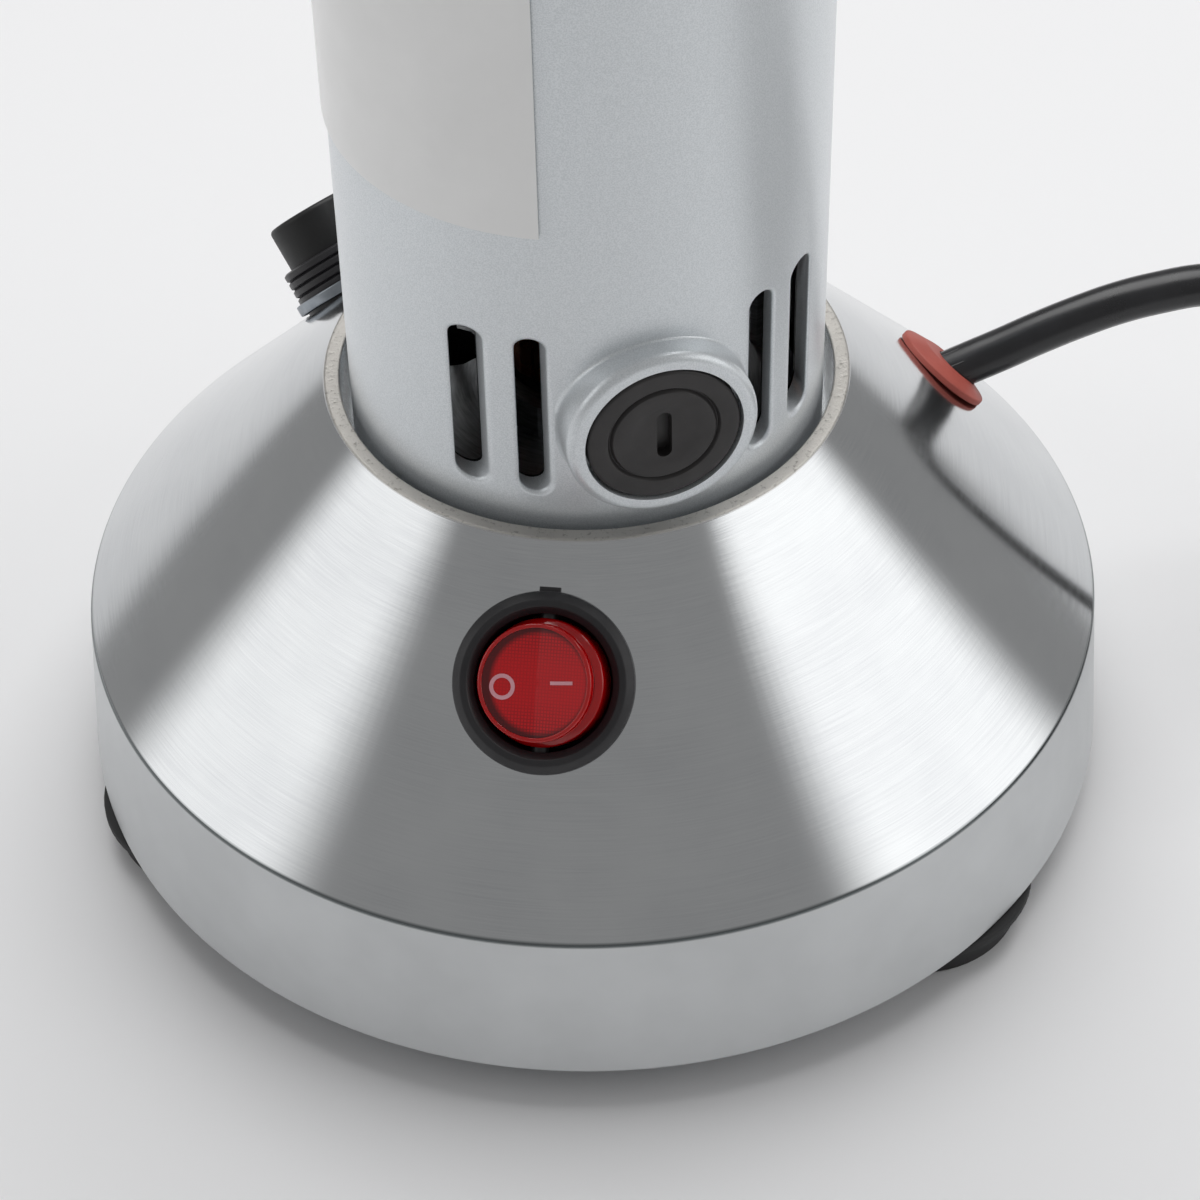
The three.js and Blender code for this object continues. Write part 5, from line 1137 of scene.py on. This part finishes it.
@dataclass
class RockerSwitch:
    """The round switch: its black housing and the red rocker with its two marks."""

    azimuth: float = 0.0
    radius: float = 47.1 * MM
    bezel_radius: float = 11.5 * MM
    bezel_height: float = 2.2 * MM
    opening: float = 8.7 * MM
    barrel_radius: float = 9.9 * MM
    barrel_depth: float = 16 * MM
    base_wall: float = 3 * MM
    floor: float = 2 * MM
    key_width: float = 2.7 * MM
    key_reach: float = 0.5 * MM
    key_height: float = 0.4 * MM
    rocker_radius: float = 7.45 * MM
    tilt: float = 11.5
    pivot: float = -0.7 * MM
    face: float = 4.7 * MM
    valley: float = 0.8 * MM
    skirt: float = 2 * MM
    pin_radius: float = 1.1 * MM
    pin_reach: float = 9.4 * MM
    rim_width: float = 0.6 * MM
    face_sink: float = 0.12 * MM
    flare_radius: float = 8.1 * MM
    flare_top: float = 1.9 * MM
    waist_radius: float = 7.1 * MM
    waist_top: float = 3 * MM
    mark_thickness: float = 0.06 * MM
    off_spot: tuple[float, float, float] = (-4.2 * MM, -0.75 * MM, 0)
    on_spot: tuple[float, float, float] = (3.45 * MM, 0.2 * MM, 0)
    print_turn: float = 4.0

    def housing(self, place: Matrix) -> bpy.types.Object:
        """Make the housing: a rounded bezel, a stepped opening, the key and the terminals."""
        body = Solid.turned([
            Corner(0, -self.barrel_depth), Corner(self.barrel_radius, -self.barrel_depth, 0.5 * MM),
            Corner(self.barrel_radius, 0), Corner(self.bezel_radius, 0, 0.15 * MM),
            Corner(self.bezel_radius, self.bezel_height * 0.62, 0.6 * MM),
            Corner(self.bezel_radius - 1.1 * MM, self.bezel_height, 0.5 * MM),
            Corner(self.opening + 0.9 * MM, self.bezel_height, 0.4 * MM),
            Corner(self.opening, self.bezel_height - 0.9 * MM, 0.3 * MM),
            Corner(self.opening, self.floor - self.barrel_depth), Corner(0, self.floor - self.barrel_depth),
        ], 128)
        key = Solid.block(
            Vector((self.key_width, self.key_reach * 2, self.key_height)),
            Vector((0, self.bezel_radius, self.key_height / 2)), 0.1 * MM)
        bearing = Solid.rod(self.pin_radius + SEAT, -self.pin_reach - SEAT, self.pin_reach + SEAT, 24)
        bearing.moved(Matrix.Translation((0, 0, self.pivot)) @ Matrix.Rotation(math.pi / 2, 4, "X"))
        tabs = [
            Solid.block(Vector((4.8, 0.8, 8.6)) * MM, Vector((0, 5 * MM * k, -self.barrel_depth - 3.7 * MM)), 0.12 * MM)
            for k in (-1, 0, 1)
        ]
        body = body.joined(key).cut(bearing).joined(*tabs).moved(place)
        return put("switch_bezel", body.to_object("switch_bezel"), BLACK_NYLON, "root", ["switch_housing"])

    def mapped(self, made: bpy.types.Object, place: Matrix) -> None:
        """Give a piece a UV map in metres over the rocker's face."""
        back = place.inverted()
        layer = made.data.uv_layers.new(name="face")
        for loop in made.data.loops:
            spot = back @ made.data.vertices[loop.vertex_index].co
            layer.data[loop.index].uv = (spot.x, spot.y)

    def rocker(self, place: Matrix) -> None:
        """Make the rocker: its clear rim with the flared side, a waist ring of painted shade, its hatched face, its
        pivots and its marks.
        """
        rest = place @ Matrix.Translation((0, 0, self.pivot)) @ Matrix.Rotation(-math.radians(self.tilt), 4, "Y")
        drop = self.valley / self.rocker_radius
        dip = lambda p: Vector((p.x, p.y, p.z - max(0.0, self.valley - abs(p.x) * drop) * (p.z > self.face / 2)))
        inner = self.rocker_radius - self.rim_width
        joint = 0.02 * MM
        parts = {
            "rocker_flare": (RED_RIM, [
                Corner(inner, -self.skirt), Corner(self.flare_radius, -self.skirt, 0.3 * MM),
                Corner(self.flare_radius, self.flare_top - 0.5 * MM, 0.4 * MM),
                Corner(self.waist_radius, self.flare_top, 0.1 * MM), Corner(inner, self.flare_top)]),
            # the waist ring is dark red painted shade between the flare and the rim
            "rocker_waist": (RED_PAINTED_SHADE, [
                Corner(inner, self.flare_top + joint), Corner(self.waist_radius, self.flare_top + joint),
                Corner(self.waist_radius, self.waist_top), Corner(inner, self.waist_top)]),
            "rocker_rim": (RED_RIM, [
                Corner(inner, self.waist_top + joint), Corner(self.waist_radius, self.waist_top + joint),
                Corner(self.rocker_radius, self.waist_top + 0.3 * MM, 0.2 * MM),
                Corner(self.rocker_radius, self.face, 0.3 * MM), Corner(inner, self.face, 0.12 * MM)]),
        }
        for name, (finish, profile) in parts.items():
            ring = Solid.turned(profile, 96).shaped(dip).moved(rest)
            put(name, ring.to_object(name), finish, "rocker", ["rocker"])
        rings = [k / 10 * inner for k in range(1, 10)]
        face = self.face - self.face_sink
        body = Solid.turned([
            Corner(0, -self.skirt), Corner(inner - 0.02 * MM, -self.skirt), Corner(inner - 0.02 * MM, face),
            *[Corner(r, face) for r in reversed(rings)], Corner(0, face),
        ], 96).shaped(dip).moved(rest)
        made = body.to_object("rocker_face")
        self.mapped(made, rest)
        put("rocker_face", made, RED_POLYCARBONATE, "rocker", ["rocker"])
        pivots = Solid.rod(self.pin_radius, -self.pin_reach, self.pin_reach, 24)
        pivots.moved(rest @ Matrix.Rotation(math.pi / 2, 4, "X"))
        put("rocker_pivots", pivots.to_object("rocker_pivots"), BLACK_NYLON, "rocker", ["rocker"])
        self.marks(rest, dip)

    def marks(self, rest: Matrix, dip: Callable[[Vector], Vector]) -> None:
        """Print the ring for OFF on the left half and the bar for ON on the right half."""
        top = self.face - self.face_sink
        ring = Solid.turned([
            Corner(1.12 * MM, top), Corner(1.62 * MM, top),
            Corner(1.62 * MM, top + self.mark_thickness), Corner(1.12 * MM, top + self.mark_thickness),
        ], 48).moved(Matrix.Translation(self.off_spot))
        bar = Solid.block(
            Vector((3 * MM, 0.45 * MM, self.mark_thickness)), Vector((0, 0, top + self.mark_thickness / 2)), 0.02 * MM)
        bar.moved(Matrix.Translation(self.on_spot) @ Matrix.Rotation(math.radians(self.print_turn), 4, "Z"))
        for name, mark in (("mark_off", ring), ("mark_on", bar)):
            put(name, mark.shaped(dip).moved(rest).to_object(name), MARK_INK, "rocker")

    def build(self, base: CastBase) -> Solid:
        """Make the switch, and return the hole that it needs in the cone."""
        place = base.on_cone(self.azimuth, self.radius)
        self.housing(place)
        self.rocker(place)
        return Solid.rod(self.barrel_radius + SEAT, -self.barrel_depth - 8 * MM, self.bezel_radius, 96).moved(place)


@dataclass
class Breaker:
    """The overload breaker at the rear: its threaded neck, its nut and its reset button."""

    azimuth: float = -130.8
    radius: float = 49.5 * MM
    neck_radius: float = 8.2 * MM
    root_radius: float = 7.8 * MM
    thread_pitch: float = 1.28 * MM
    ridge_count: int = 5
    neck_height: float = 6.4 * MM
    base_wall: float = 3 * MM
    flange_radius: float = 10.5 * MM
    flange_thickness: float = 2 * MM
    body: tuple[float, float, float] = (16 * MM, 20 * MM, 18 * MM)
    body_wall: float = 2 * MM
    nut_radius: float = 8.9 * MM
    nut_height: float = 1.6 * MM
    button_radius: float = 6.8 * MM
    button_top: float = 12.8 * MM
    button_bottom: float = -6 * MM

    def neck(self, place: Matrix) -> None:
        """Make the neck with its thread ridges, the box under the cone and its terminals."""
        inside = -self.base_wall - SEAT
        box_top = inside - self.flange_thickness
        ridges: list[Corner] = []
        for i in range(self.ridge_count):
            z = self.neck_height - i * self.thread_pitch
            ridges += [Corner(self.root_radius, z), Corner(self.neck_radius, z - self.thread_pitch * 0.2, 0.1 * MM),
                       Corner(self.neck_radius, z - self.thread_pitch * 0.8, 0.1 * MM)]
        body = Solid.turned([
            Corner(0, self.neck_height), *ridges, Corner(self.root_radius, 0), Corner(self.root_radius, inside),
            Corner(self.flange_radius, inside, 0.3 * MM), Corner(self.flange_radius, box_top, 0.3 * MM), Corner(0, box_top),
        ], 80)
        wide, long, deep = self.body
        box = Solid.block(Vector((wide, long, deep + 0.2 * MM)), Vector((0, 0, box_top - deep / 2 + 0.1 * MM)), 0.8 * MM)
        bore = Solid.rod(self.button_radius + SEAT, box_top - deep + self.body_wall, self.neck_height + OVERRUN)
        tabs = [
            Solid.block(Vector((4.8, 0.8, 9)) * MM, Vector((0, 5 * MM * k, box_top - deep - 3.5 * MM)), 0.12 * MM)
            for k in (-1, 1)
        ]
        body = body.joined(box).cut(bore).joined(*tabs).moved(place)
        put("breaker_neck", body.to_object("breaker_neck"), BLACK_NYLON, "root", ["breaker_body"])

    def nut(self, place: Matrix) -> None:
        """Make the thin round nut with its chamfers and its two spanner notches."""
        bore = self.neck_radius + SEAT
        nut = Solid.turned([
            Corner(bore, 0.05 * MM), Corner(self.nut_radius, 0.05 * MM, 0.2 * MM),
            Corner(self.nut_radius, self.nut_height, 0.45 * MM), Corner(bore, self.nut_height, 0.2 * MM),
        ], 96)
        notches = [
            Solid.block(Vector((2, 1.2, 4)) * MM, Vector((0, side * self.nut_radius, 2 * MM)))
            for side in (-1, 1)
        ]
        put("breaker_ring_nut", nut.cut(*notches).moved(place).to_object("nut"), ZINC_PLATE, "root", ["breaker_nut"])

    def button(self, place: Matrix) -> None:
        """Make the button with its rounded edge and its shallow dish."""
        button = Solid.turned([
            Corner(0, self.button_bottom), Corner(self.button_radius, self.button_bottom, 0.3 * MM),
            Corner(self.button_radius, self.button_top, 0.7 * MM), Corner(self.button_radius * 0.72, self.button_top, 0.5 * MM),
            Corner(self.button_radius * 0.6, self.button_top - 0.35 * MM, 0.5 * MM), Corner(0, self.button_top - 0.35 * MM),
        ], 80).moved(place)
        put("reset_knob", button.to_object("reset_knob"), BLACK_ABS, "reset_button", ["reset_button"])

    def build(self, base: CastBase) -> Solid:
        """Make the breaker, and return the hole that it needs in the cone."""
        place = base.on_cone(self.azimuth, self.radius)
        self.neck(place)
        self.nut(place)
        self.button(place)
        return Solid.rod(self.neck_radius + SEAT, -9 * MM, 4 * MM).moved(place)


@dataclass
class CordPassage:
    """The brick-red grommet that the cord passes through."""

    azimuth: float = 120.0
    radius: float = 53.8 * MM
    flange_radius: float = 6.75 * MM
    outer_radius: float = 7.3 * MM
    edge_height: float = 0.9 * MM
    flange_height: float = 1.8 * MM
    neck_radius: float = 5.6 * MM
    base_wall: float = 3 * MM
    inner_flange: float = 1.6 * MM
    inner_run: tuple[tuple[float, float, float], ...] = (
        (0.027, 0.020, 0.029), (0.018, 0.014, 0.018), (0.009, 0.0075, 0.0095), (0.0005, 0.0054, 0.0062),
        (-0.006, 0.0054, 0.0062), (-0.012, 0.0054, 0.0062),
    )

    def grommet(self, place: Matrix, cord: MainsCord) -> None:
        """Make the grommet with its groove and the slanted passage of the cord."""
        inner = -self.base_wall - 3 * SEAT
        body = Solid.turned([
            Corner(0, inner - self.inner_flange), Corner(self.flange_radius, inner - self.inner_flange, 0.4 * MM),
            Corner(self.flange_radius, inner), Corner(self.neck_radius, inner), Corner(self.neck_radius, 0.02 * MM),
            Corner(self.outer_radius, 0.02 * MM, 0.1 * MM), Corner(self.outer_radius, self.edge_height, 0.3 * MM),
            Corner(self.flange_radius * 0.62, self.flange_height, 0.5 * MM), Corner(0, self.flange_height),
        ], 96).moved(place)
        way = cord.lay @ Matrix.Translation((0, 0, LEVEL)) @ station(cord.mouth, cord.exit_way)
        passage = Solid.rod(cord.diameter / 2 + 0.1 * MM, -14 * MM, 14 * MM).moved(way)
        put("cord_bush", body.cut(passage).to_object("cord_bush"), RED_RUBBER, "root", ["cord_grommet"])

    def build(self, base: CastBase, cord: MainsCord) -> Solid:
        """Make the grommet, and return the hole that it needs in the cone."""
        place = base.on_cone(self.azimuth, self.radius)
        self.grommet(place, cord)
        return Solid.rod(self.neck_radius + SEAT, -8 * MM, 4 * MM).moved(place)


@dataclass
class MotorColumn:
    """The silver housing with its brush bosses and air slots, the sticker and the brush caps."""

    radius: float = 31.3 * MM
    wall: float = 3 * MM
    floor_thickness: float = 1.6 * MM
    bottom: float = 52.3 * MM
    top: float = 160 * MM
    flange_inner: float = 23 * MM
    slot_bottom: float = 64.2 * MM
    slot_top: float = 88.4 * MM
    slot_width: float = 3.4 * MM
    exhaust_width: float = 4 * MM
    slot_angles: tuple[float, ...] = (-43.1, -27.9, 27.9, 43.1)
    slot_round: float = 0.7 * MM
    slot_steps: int = 5
    exhaust_bottom: float = 142 * MM
    exhaust_top: float = 152 * MM
    exhausts: int = 6
    boss_azimuths: tuple[float, ...] = (23.3, 203.3)
    boss_height: float = 75.4 * MM
    boss_radius: float = 12.25 * MM
    boss_reach: float = 34.7 * MM
    boss_round: float = 1.3 * MM
    fillet: float = 0.9 * MM
    mouth_radius: float = 10.15 * MM
    mouth_depth: float = 3.1 * MM
    holder_radius: float = 9.3 * MM
    label_first: float = -91.7
    label_last: float = -1.7
    label_bottom: float = 104.3 * MM
    label_top: float = 141 * MM
    label_thickness: float = 0.25 * MM
    cap_radius: float = 9.8 * MM
    cap_thickness: float = 3 * MM
    groove_radius: float = 6.9 * MM
    stem_radius: float = 6.4 * MM
    stem_length: float = 4 * MM

    def outward(self, azimuth: float, height: float) -> Matrix:
        """Place on the motor axis at a height, its +Z out along an azimuth."""
        return station(Vector((0, 0, LEVEL + height)), polar(azimuth, 1))

    def boss(self, azimuth: float) -> Solid:
        """Make a brush boss whose foot runs out onto the round housing in a fillet."""
        inner = self.radius - self.wall / 2
        foot = self.radius - 0.05 * MM
        reach = self.boss_radius + self.fillet
        shape = Solid.turned([
            Corner(0, inner - 6 * MM), Corner(reach, inner - 6 * MM), Corner(reach, foot),
            Corner(self.boss_radius, foot, self.fillet), Corner(self.boss_radius, self.boss_reach, self.boss_round),
            Corner(0, self.boss_reach),
        ], 128, 8)
        share = lambda z: min(1.0, max(0.0, (self.boss_reach - self.boss_round - z) / (self.boss_reach - self.boss_round - foot)))
        sag = lambda x: self.radius - math.sqrt(self.radius ** 2 - x ** 2)
        shape.shaped(lambda p: Vector((p.x, p.y, p.z - sag(p.x) * share(p.z))))
        return shape.moved(self.outward(azimuth, self.boss_height))

    def opening(self, azimuth: float, offset: float, width: float, bottom: float, top: float) -> Solid:
        """Make the cutter of an air slot, which rolls the slot's outer edge.

        Args:
            azimuth: The way that the slot runs.
            offset: How far it lies to the side of the motor axis.
            width: Its width.
            bottom: Its lower end above the rim.
            top: Its upper end above the rim.

        Returns:
            The cutter.
        """
        turns = [math.pi / 2 * k / self.slot_steps for k in range(self.slot_steps + 1)]
        levels = [(-self.radius, 0.0)]
        levels += [(-self.slot_round * (1 - math.sin(t)), self.slot_round * (1 - math.cos(t))) for t in turns]
        levels.append((SEAT, self.slot_round))
        cutter = Solid.slot(width, top - bottom, levels)
        cutter.moved(Matrix.Translation((offset, 0, 0)))
        cutter.shaped(lambda p: Vector((p.x, p.y, p.z + math.sqrt(self.radius ** 2 - p.x ** 2))))
        return cutter.moved(self.outward(azimuth, (bottom + top) / 2))

    def housing(self) -> None:
        """Make the housing in one piece with its bosses."""
        inner = self.radius - self.wall
        shell = Solid.turned([
            Corner(self.flange_inner, self.bottom), Corner(self.radius, self.bottom, 0.4 * MM),
            Corner(self.radius, self.top, 0.5 * MM), Corner(inner, self.top, 0.2 * MM),
            Corner(inner, self.bottom + self.floor_thickness),
            Corner(self.flange_inner, self.bottom + self.floor_thickness),
        ], 192).moved(Matrix.Translation((0, 0, LEVEL)))
        shell = shell.joined(*[self.boss(a) for a in self.boss_azimuths])
        core = Solid.rod(inner, self.bottom + self.floor_thickness, self.top, 192)
        core.moved(Matrix.Translation((0, 0, LEVEL)))
        cuts = [core]
        for azimuth in self.boss_azimuths:
            place = self.outward(azimuth, self.boss_height)
            cuts.append(Solid.rod(self.holder_radius, inner / 2, self.boss_reach + OVERRUN, 96).moved(place))
            cuts.append(Solid.rod(
                self.mouth_radius, self.boss_reach - self.mouth_depth, self.boss_reach + OVERRUN, 96).moved(place))
            for angle in self.slot_angles:
                offset = self.radius * math.sin(math.radians(angle))
                cuts.append(self.opening(azimuth, offset, self.slot_width, self.slot_bottom, self.slot_top))
        for i in range(self.exhausts):
            azimuth = self.boss_azimuths[0] + (i + 0.5) * 360 / self.exhausts
            cuts.append(self.opening(azimuth, 0, self.exhaust_width, self.exhaust_bottom, self.exhaust_top))
        shell = shell.cut(*cuts)
        made = shell.to_object("column")
        put("motor_column", made, SILVER_PAINT, "root", ["motor_housing"], turned=True)

    def label(self) -> None:
        """Make the bare sticker that lies round the housing."""
        inner = self.radius + SEAT
        mesh = bmesh.new()
        edge = [
            mesh.verts.new(polar(self.label_first, r, LEVEL + z))
            for r, z in rounded([
                Corner(inner, self.label_bottom), Corner(inner + self.label_thickness, self.label_bottom),
                Corner(inner + self.label_thickness, self.label_top), Corner(inner, self.label_top)], True)
        ]
        profile = mesh.faces.new(edge)
        bmesh.ops.spin(
            mesh, geom=[profile, *profile.edges, *profile.verts], cent=(0, 0, 0), axis=(0, 0, 1),
            angle=math.radians(self.label_last - self.label_first), steps=48, use_duplicate=False,
        )
        sticker = Solid(mesh).cleaned()
        put("sticker", sticker.to_object("sticker"), STICKER_FILM, "root", ["rating_label"])

    def cap(self, number: int, azimuth: float) -> None:
        """Make a brush cap: a turned disc with its ring groove, raised middle and screwdriver slot."""
        back = self.boss_reach - self.mouth_depth
        face = back + self.cap_thickness
        groove, width = self.groove_radius, 0.35 * MM
        cap = Solid.turned([
            Corner(0, back - self.stem_length), Corner(self.stem_radius, back - self.stem_length, 0.3 * MM),
            Corner(self.stem_radius, back), Corner(self.cap_radius, back, 0.2 * MM),
            Corner(self.cap_radius, face, 0.5 * MM), Corner(groove + width, face, 0.15 * MM),
            Corner(groove, face - 0.6 * MM, 0.1 * MM), Corner(groove - width, face, 0.15 * MM),
            Corner(groove * 0.63, face - 0.02 * MM), Corner(groove * 0.6, face - 0.09 * MM), Corner(0, face - 0.09 * MM),
        ], 128)
        slot = Solid.slot(1.9 * MM, 7 * MM, [(face - 1.6 * MM, 0), (face + OVERRUN, 0)])
        place = self.outward(azimuth, self.boss_height)
        body = cap.cut(slot).moved(place)
        node = f"brush_cap_{number}"
        put(f"brush_screw_cap_{number}", body.to_object(node), PHENOLIC, node, [node])

    def build(self) -> None:
        """Make the column's pieces and dress what shows in its slots."""
        self.housing()
        self.label()
        for number, azimuth in enumerate(self.boss_azimuths, 1):
            self.cap(number, azimuth)
            dress(PHENOLIC, f"brush_holder_{number}")
            dress(CARBON, f"carbon_brush_{number}")
            dress(ZINC_PLATE, f"brush_spring_{number}")


@dataclass
class BowlAndLid:
    """The steel bowl on its seat plate, and the lid with its knob."""

    seat_bottom: float = 160.3 * MM
    seat_top: float = 164.3 * MM
    seat_radius: float = 40 * MM
    plug_radius: float = 29.4 * MM
    plug_wall: float = 3 * MM
    plug_depth: float = 6 * MM
    hub_radius: float = 14.5 * MM
    hub_drop: float = 10.5 * MM
    bearing_radius: float = 11.3 * MM
    shaft_clear: float = 5 * MM
    bowl_bottom: float = 164.6 * MM
    bowl_radius: float = 45.5 * MM
    bowl_wall: float = 1.6 * MM
    bowl_rim: float = 214.2 * MM
    corner: float = 6 * MM
    shaft_hole: float = 6 * MM
    thread_radius: float = 46.1 * MM
    thread_pitch: float = 3 * MM
    thread_drop: float = 5 * MM
    screw_circle: float = 22 * MM
    screw_azimuths: tuple[float, ...] = (45, 225)
    lid_under: float = 217 * MM
    lid_top: float = 218.6 * MM
    skirt_inner: float = 46.6 * MM
    skirt_outer: float = 48.2 * MM
    skirt_depth: float = 14 * MM
    knob_bottom: float = 218.9 * MM
    knob_radius: float = 15 * MM
    knob_neck: float = 8.5 * MM
    knob_foot: float = 11 * MM
    knob_height: float = 22 * MM
    screw_radius: float = 2.8 * MM
    flutes: int = 48

    def holes(self, bottom: float, top: float) -> list[Solid]:
        """Holes for the two screws of the bowl."""
        return [
            Solid.rod(2.3 * MM, bottom - OVERRUN, top + OVERRUN, 32).moved(Matrix.Translation(polar(a, self.screw_circle, LEVEL)))
            for a in self.screw_azimuths
        ]

    def seat(self) -> None:
        """Turn the seat plate."""
        plug = self.plug_radius - self.plug_wall
        hub_bottom = self.seat_bottom - self.hub_drop
        body = Solid.turned([
            Corner(self.bearing_radius, hub_bottom), Corner(self.hub_radius, hub_bottom, 0.4 * MM),
            Corner(self.hub_radius, self.seat_bottom, 1 * MM), Corner(plug, self.seat_bottom),
            Corner(plug, self.seat_bottom - self.plug_depth), Corner(self.plug_radius, self.seat_bottom - self.plug_depth, 0.4 * MM),
            Corner(self.plug_radius, self.seat_bottom), Corner(self.seat_radius, self.seat_bottom, 0.4 * MM),
            Corner(self.seat_radius, self.seat_top, 1 * MM), Corner(self.shaft_clear, self.seat_top),
            Corner(self.shaft_clear, hub_bottom + 8 * MM), Corner(self.bearing_radius, hub_bottom + 8 * MM),
        ], 160).moved(Matrix.Translation((0, 0, LEVEL)))
        body = body.cut(*self.holes(self.seat_bottom, self.seat_top))
        put("bowl_seat", body.to_object("bowl_seat"), CAST_ALUMINIUM, "root", ["seat_plate"], turned=True)

    def bowl(self) -> None:
        """Spin the bowl with its rounded foot and its two thread ridges."""
        ridges: list[Corner] = []
        for i in (1, 0):
            z = self.bowl_rim - self.thread_drop - i * self.thread_pitch
            ridges += [Corner(self.bowl_radius, z - self.thread_pitch / 3, 0.4 * MM), Corner(self.thread_radius, z, 0.5 * MM),
                       Corner(self.bowl_radius, z + self.thread_pitch / 3, 0.4 * MM)]
        inner = self.bowl_radius - self.bowl_wall
        floor = self.bowl_bottom + self.bowl_wall
        body = Solid.turned([
            Corner(self.shaft_hole, self.bowl_bottom), Corner(self.bowl_radius, self.bowl_bottom, self.corner), *ridges,
            Corner(self.bowl_radius, self.bowl_rim, 0.6 * MM), Corner(inner, self.bowl_rim, 0.6 * MM),
            Corner(inner, floor, self.corner - self.bowl_wall), Corner(self.shaft_hole, floor),
        ], 160, 8).moved(Matrix.Translation((0, 0, LEVEL)))
        body = body.cut(*self.holes(self.bowl_bottom, floor))
        put("spun_bowl", body.to_object("spun_bowl"), SPUN_STEEL, "root", ["grinding_bowl"], turned=True)

    def fluted(self, point: Vector) -> Vector:
        """Sink every other stretch of the lid's skirt by a shallow flute."""
        spread = point.xy.length
        if spread < self.skirt_outer - 0.2 * MM or point.z > LEVEL + self.lid_top - 2.5 * MM:
            return point
        if point.z < LEVEL + self.lid_under - self.skirt_depth + 1 * MM:
            return point
        wave = math.cos(math.atan2(point.y, point.x) * self.flutes)
        flat = point.xy * (1 - 0.45 * MM / spread * max(0.0, wave))
        return Vector((*flat, point.z))

    def lid(self) -> None:
        """Press the lid with its rolled rim and fluted skirt."""
        bottom = self.lid_under - self.skirt_depth
        body = Solid.turned([
            Corner(self.screw_radius, self.lid_under), Corner(self.skirt_inner, self.lid_under, 0.8 * MM),
            Corner(self.skirt_inner, bottom, 0.3 * MM), Corner(self.skirt_outer, bottom, 0.5 * MM),
            Corner(self.skirt_outer, bottom + 1.4 * MM), Corner(self.skirt_outer, self.lid_top - 2.6 * MM),
            Corner(self.skirt_outer, self.lid_top, 1.5 * MM), Corner(24 * MM, self.lid_top),
            Corner(23 * MM, self.lid_top - 0.4 * MM, 0.8 * MM), Corner(16 * MM, self.lid_top - 0.4 * MM, 0.8 * MM),
            Corner(15 * MM, self.lid_top), Corner(self.screw_radius, self.lid_top),
        ], 384, 5).moved(Matrix.Translation((0, 0, LEVEL))).shaped(self.fluted)
        put("pressed_lid", body.to_object("pressed_lid"), SPUN_STEEL, "lid", ["lid"])

    def knob(self) -> None:
        """Turn the knob with its waist, its rounded head and a grip groove."""
        bottom, top = self.knob_bottom, self.knob_bottom + self.knob_height
        body = Solid.turned([
            Corner(self.screw_radius, bottom), Corner(self.knob_foot, bottom, 0.3 * MM),
            Corner(self.knob_foot, bottom + 1.6 * MM, 0.6 * MM), Corner(self.knob_neck, bottom + 3.5 * MM, 2 * MM),
            Corner(self.knob_neck, bottom + 7.5 * MM, 2 * MM), Corner(self.knob_radius, bottom + 11 * MM, 2 * MM),
            Corner(self.knob_radius, bottom + 14 * MM, 0.4 * MM), Corner(self.knob_radius - 0.6 * MM, bottom + 14.6 * MM, 0.3 * MM),
            Corner(self.knob_radius - 0.6 * MM, bottom + 15.4 * MM, 0.3 * MM), Corner(self.knob_radius, bottom + 16 * MM, 0.4 * MM),
            Corner(self.knob_radius, top - 1.2 * MM, 2.2 * MM), Corner(9 * MM, top, 6 * MM), Corner(0, top),
        ], 112, 8)
        bore = Solid.rod(self.screw_radius, bottom - OVERRUN, bottom + 12 * MM, 32)
        body = body.joined(Solid.rod(self.screw_radius + 0.5 * MM, bottom, bottom + 13 * MM, 32)).cut(bore)
        body.moved(Matrix.Translation((0, 0, LEVEL)))
        put("turned_knob", body.to_object("turned_knob"), PHENOLIC, "lid", ["lid_knob"])

    def build(self) -> None:
        """Make bowl, seat and lid, and dress the small pieces in them."""
        self.seat()
        self.bowl()
        self.lid()
        self.knob()
        dress(GROUND_STEEL, "lower_blade", "upper_blade", "blade_spacer", "blade_nut", "bowl_screw_1", "bowl_screw_2")
        dress(GROUND_STEEL, "lid_screw", "motor_shaft")
        dress(BLACK_RUBBER, "shaft_seal")
        dress(SILICONE, "lid_gasket")


def dress_motor() -> None:
    """Give the motor's inner pieces and the leads their finishes."""
    dress(CAST_ALUMINIUM, "lower_bracket")
    dress(ZINC_PLATE, "lower_bearing", "upper_bearing", "motor_bolt_1", "motor_bolt_2")
    dress(LAMINATIONS, "stator_core", "rotor_core")
    dress(COPPER_WIRE, "field_coil_1", "field_coil_2", "rotor_winding")
    dress(COPPER_BARS, "commutator")
    dress(BLACK_NYLON, "cooling_fan", "cord_clamp")
    dress(BLACK_PVC, "inner_cord")
    dress(BROWN_WIRE, "switch_lead", "motor_lead")


def corners(box: tuple[Vector, Vector]) -> list[list[float]]:
    """Corners of a box as plain lists."""
    return [list(corner) for corner in box]


def main() -> None:
    """Build the camera, the cord, every sub-assembly and the studio, in that order."""
    logging.basicConfig(level=logging.INFO, format="%(name)s: %(message)s")
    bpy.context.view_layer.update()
    PhotoCamera().build()
    cord = MainsCord()
    cord.build()
    base = CastBase()
    holes = [RockerSwitch().build(base), Breaker().build(base), CordPassage().build(base, cord)]
    base.build(holes)
    MotorColumn().build()
    BowlAndLid().build()
    dress_motor()
    Studio().build()


if __name__ == "__main__":
    main()
